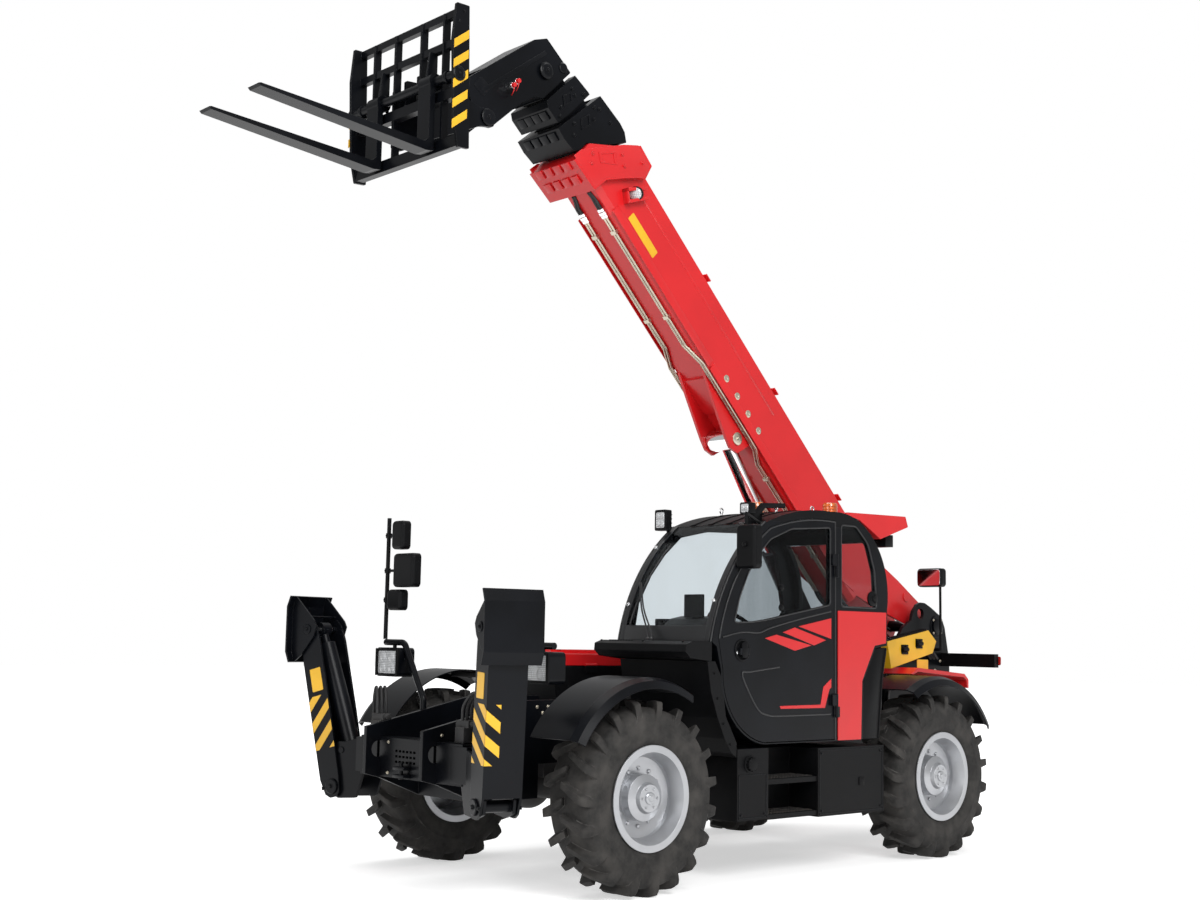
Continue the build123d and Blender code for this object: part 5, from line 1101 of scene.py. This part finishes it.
def pod_fittings():
    """Louvres, grille frames and latches, hood handle and exhaust of the engine housing."""
    slats, grille, hood, pipe = Shape(), Shape(), Shape(), Shape()
    for k in range(12):
        z = 0.8 + 0.034 * k
        slats.slab([(POD_SIDE, z), (-1.158, z + 0.002), (-1.158, z + 0.008), (POD_SIDE, z + 0.022)], "x", -0.1, 0.55)
    for k in range(9):
        x = -0.64 + 0.045 * k
        slats.slab([(x, POD_SIDE), (x + 0.008, -1.157), (x + 0.014, -1.157), (x + 0.026, POD_SIDE)], "z", 0.78, 1.22)
    slats.piece("pod_louvres", DARK, bevel=0.0008)
    for x in (-0.68, -0.24, -0.12, 0.57):
        grille.box((x - 0.008, x + 0.008), (-1.156, POD_SIDE), (0.76, 1.24))
    for z in (0.76, 1.24):
        for span in ((-0.688, -0.232), (-0.128, 0.578)):
            grille.box(span, (-1.156, POD_SIDE), (z - 0.008, z + 0.008))
    grille.bolts([(x, -1.156, z) for x in (-0.66, -0.26, -0.1, 0.55) for z in (0.78, 1.22)], (0, -1, 0), 0.007)
    for x in (-0.55, 0.6):
        grille.box((x - 0.02, x + 0.02), (-1.166, POD_SIDE), (1.375, 1.425))
        grille.rod((x, -1.166, 1.4), (x, -1.172, 1.4), 0.012, sides=18)
    grille.piece("pod_frames", BLACK, bevel=0.0008)
    for x in (-0.3, 0.3):
        hood.rod((x, POD_SIDE, 1.455), (x, -1.17, 1.455), 0.008, sides=12)
    hood.tube([(-0.3, -1.168, 1.455), (0.0, -1.17, 1.455), (0.3, -1.168, 1.455)], 0.008)
    for x in (-0.62, 0.82):
        hood.box((x - 0.02, x + 0.02), (-0.93, -0.61), (1.549, 1.5505))
    hood.piece("hood_handle", DARK, "hood")
    pipe.tube([(-0.7, -1.02, 0.62), (-0.84, -1.04, 0.6), (-0.95, -1.08, 0.56)], 0.032, sides=20)
    pipe.piece("exhaust_pipe", CAST)


def tail_fittings():
    """Bolts in the corners of the counterweight and the two plates of the rear tow jaw."""
    low, high = (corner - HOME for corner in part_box("counterweight"))
    shape = Shape()
    x, middle = low.x, (low.z + high.z) / 2
    shape.bolts([(x + 0.001, y, z) for y in (low.y + 0.1, high.y - 0.1) for z in (low.z + 0.1, high.z - 0.1)],
                (-1, 0, 0), 0.016)
    for z in (middle - 0.07, middle + 0.045):
        shape.box((x, x + 0.03), (-0.13, 0.05), (z, z + 0.025))
    shape.piece("tail_bolts", BLACK, bevel=0.001)


def cowl_fittings():
    """Air slots and bolts of the cowl below the windscreen."""
    shape = Shape()
    for k in range(9):
        y = 0.34 + 0.028 * k
        shape.box((1.1, 1.19), (y, y + 0.012), (1.629, 1.6345))
    shape.bolts([(1.225, y, 1.626) for y in (0.3, 0.72, 1.1)], (0.35, 0, 0.93), 0.008)
    shape.bolts(at_side([(0.965, 1.42), (0.93, 1.25), (0.87, 1.08), (0.8, 0.94)], CAB_LEFT), LEFT, 0.008)
    shape.piece("cowl_slots", DARK)


for fit in (windscreen_trim, dash_fittings, door_trim, quarter_trim, roof_fittings, lamps, operator_seat, mirror_faces,
            boom_fittings, carriage_fittings, step_fittings, nose_fittings, prop_fittings, pod_fittings, tail_fittings,
            cowl_fittings):
    fit()


# ---------------------------------------------------------------- stage
FLOOR_REACH = 60


def add_stage():
    """Pale floor that keeps the soft shadow of the machine and turns white away from it."""
    material, tree, shader, where = start_material("pale_floor")
    distance = add_node(tree, "VectorMath", {0: where}, operation="LENGTH").outputs["Value"]
    path = add_node(tree, "LightPath").outputs
    seen = math_node(tree, "MAXIMUM", path["Is Camera Ray"],
                     math_node(tree, "MAXIMUM", path["Is Transmission Ray"], path["Is Glossy Ray"]))
    glow = plus(tree, 0.55, times(tree, ramp(tree, distance, 3.5, 9.0), 0.45))
    fill(tree, shader, {"Base Color": (0.8, 0.8, 0.8), "Roughness": 0.9, "Specular IOR Level": 0.0,
                        "Emission Color": (1, 1, 1), "Emission Strength": times(tree, seen, glow)})
    mesh = bpy.data.meshes.new("floor")
    bm = bmesh.new()
    reach = (-FLOOR_REACH, FLOOR_REACH)
    bm.faces.new([bm.verts.new((x, y, 0)) for x, y in rectangle(reach, reach)])
    bm.to_mesh(mesh)
    bm.free()
    mesh.materials.append(material)
    floor = bpy.data.objects.new("floor", mesh)
    bpy.context.scene.collection.objects.link(floor)


def set_world():
    """Even pale sky: plain light on the machine, and white behind it."""
    world = bpy.data.worlds.new("studio")
    bpy.context.scene.world = world
    world.use_nodes = True
    tree = world.node_tree
    path = add_node(tree, "LightPath").outputs
    seen = math_node(tree, "MAXIMUM", path["Is Camera Ray"], path["Is Transmission Ray"])
    fill(tree, tree.nodes["Background"], {"Color": (1, 1, 1), "Strength": plus(tree, 0.5, times(tree, seen, 0.5))})


def add_light(name, place, size, power):
    """Square light that looks at the middle of the machine."""
    light = bpy.data.lights.new(name, "AREA")
    light.shape = "RECTANGLE"
    light.size, light.size_y = size, size
    light.energy = power
    thing = bpy.data.objects.new(name, light)
    thing.location = place
    thing.rotation_euler = (2 * UP - Vector(place)).to_track_quat("-Z", "Y").to_euler()
    bpy.context.scene.collection.objects.link(thing)


def add_camera():
    """Camera at standing height, in front of the machine's left corner."""
    yaw, pitch, roll = (math.radians(a) for a in (-132.641, 6.942, 1.07))
    out = Vector((math.cos(yaw) * math.cos(pitch), math.sin(yaw) * math.cos(pitch), math.sin(pitch)))
    level = out.cross(UP).normalized()
    upright = level.cross(out)
    right = math.cos(roll) * level + math.sin(roll) * upright
    up = math.cos(roll) * upright - math.sin(roll) * level
    data = bpy.data.cameras.new("camera")
    data.sensor_width, data.lens, data.clip_end = 36.0, 46.72, 300.0
    camera = bpy.data.objects.new("camera", data)
    camera.matrix_world = axes(right, up, -out, HOME + Vector((8.761, 8.43, 1.631)))
    bpy.context.scene.collection.objects.link(camera)
    bpy.context.scene.camera = camera


add_stage()
set_world()
add_light("key", (4.0, 11.0, 9.0), 6.0, 1150.0)
add_light("front", (14.0, 2.0, 5.0), 6.0, 330.0)
add_light("top", (-1.0, -2.0, 13.0), 8.0, 620.0)
add_camera()
bpy.context.scene.view_settings.view_transform = "Standard"
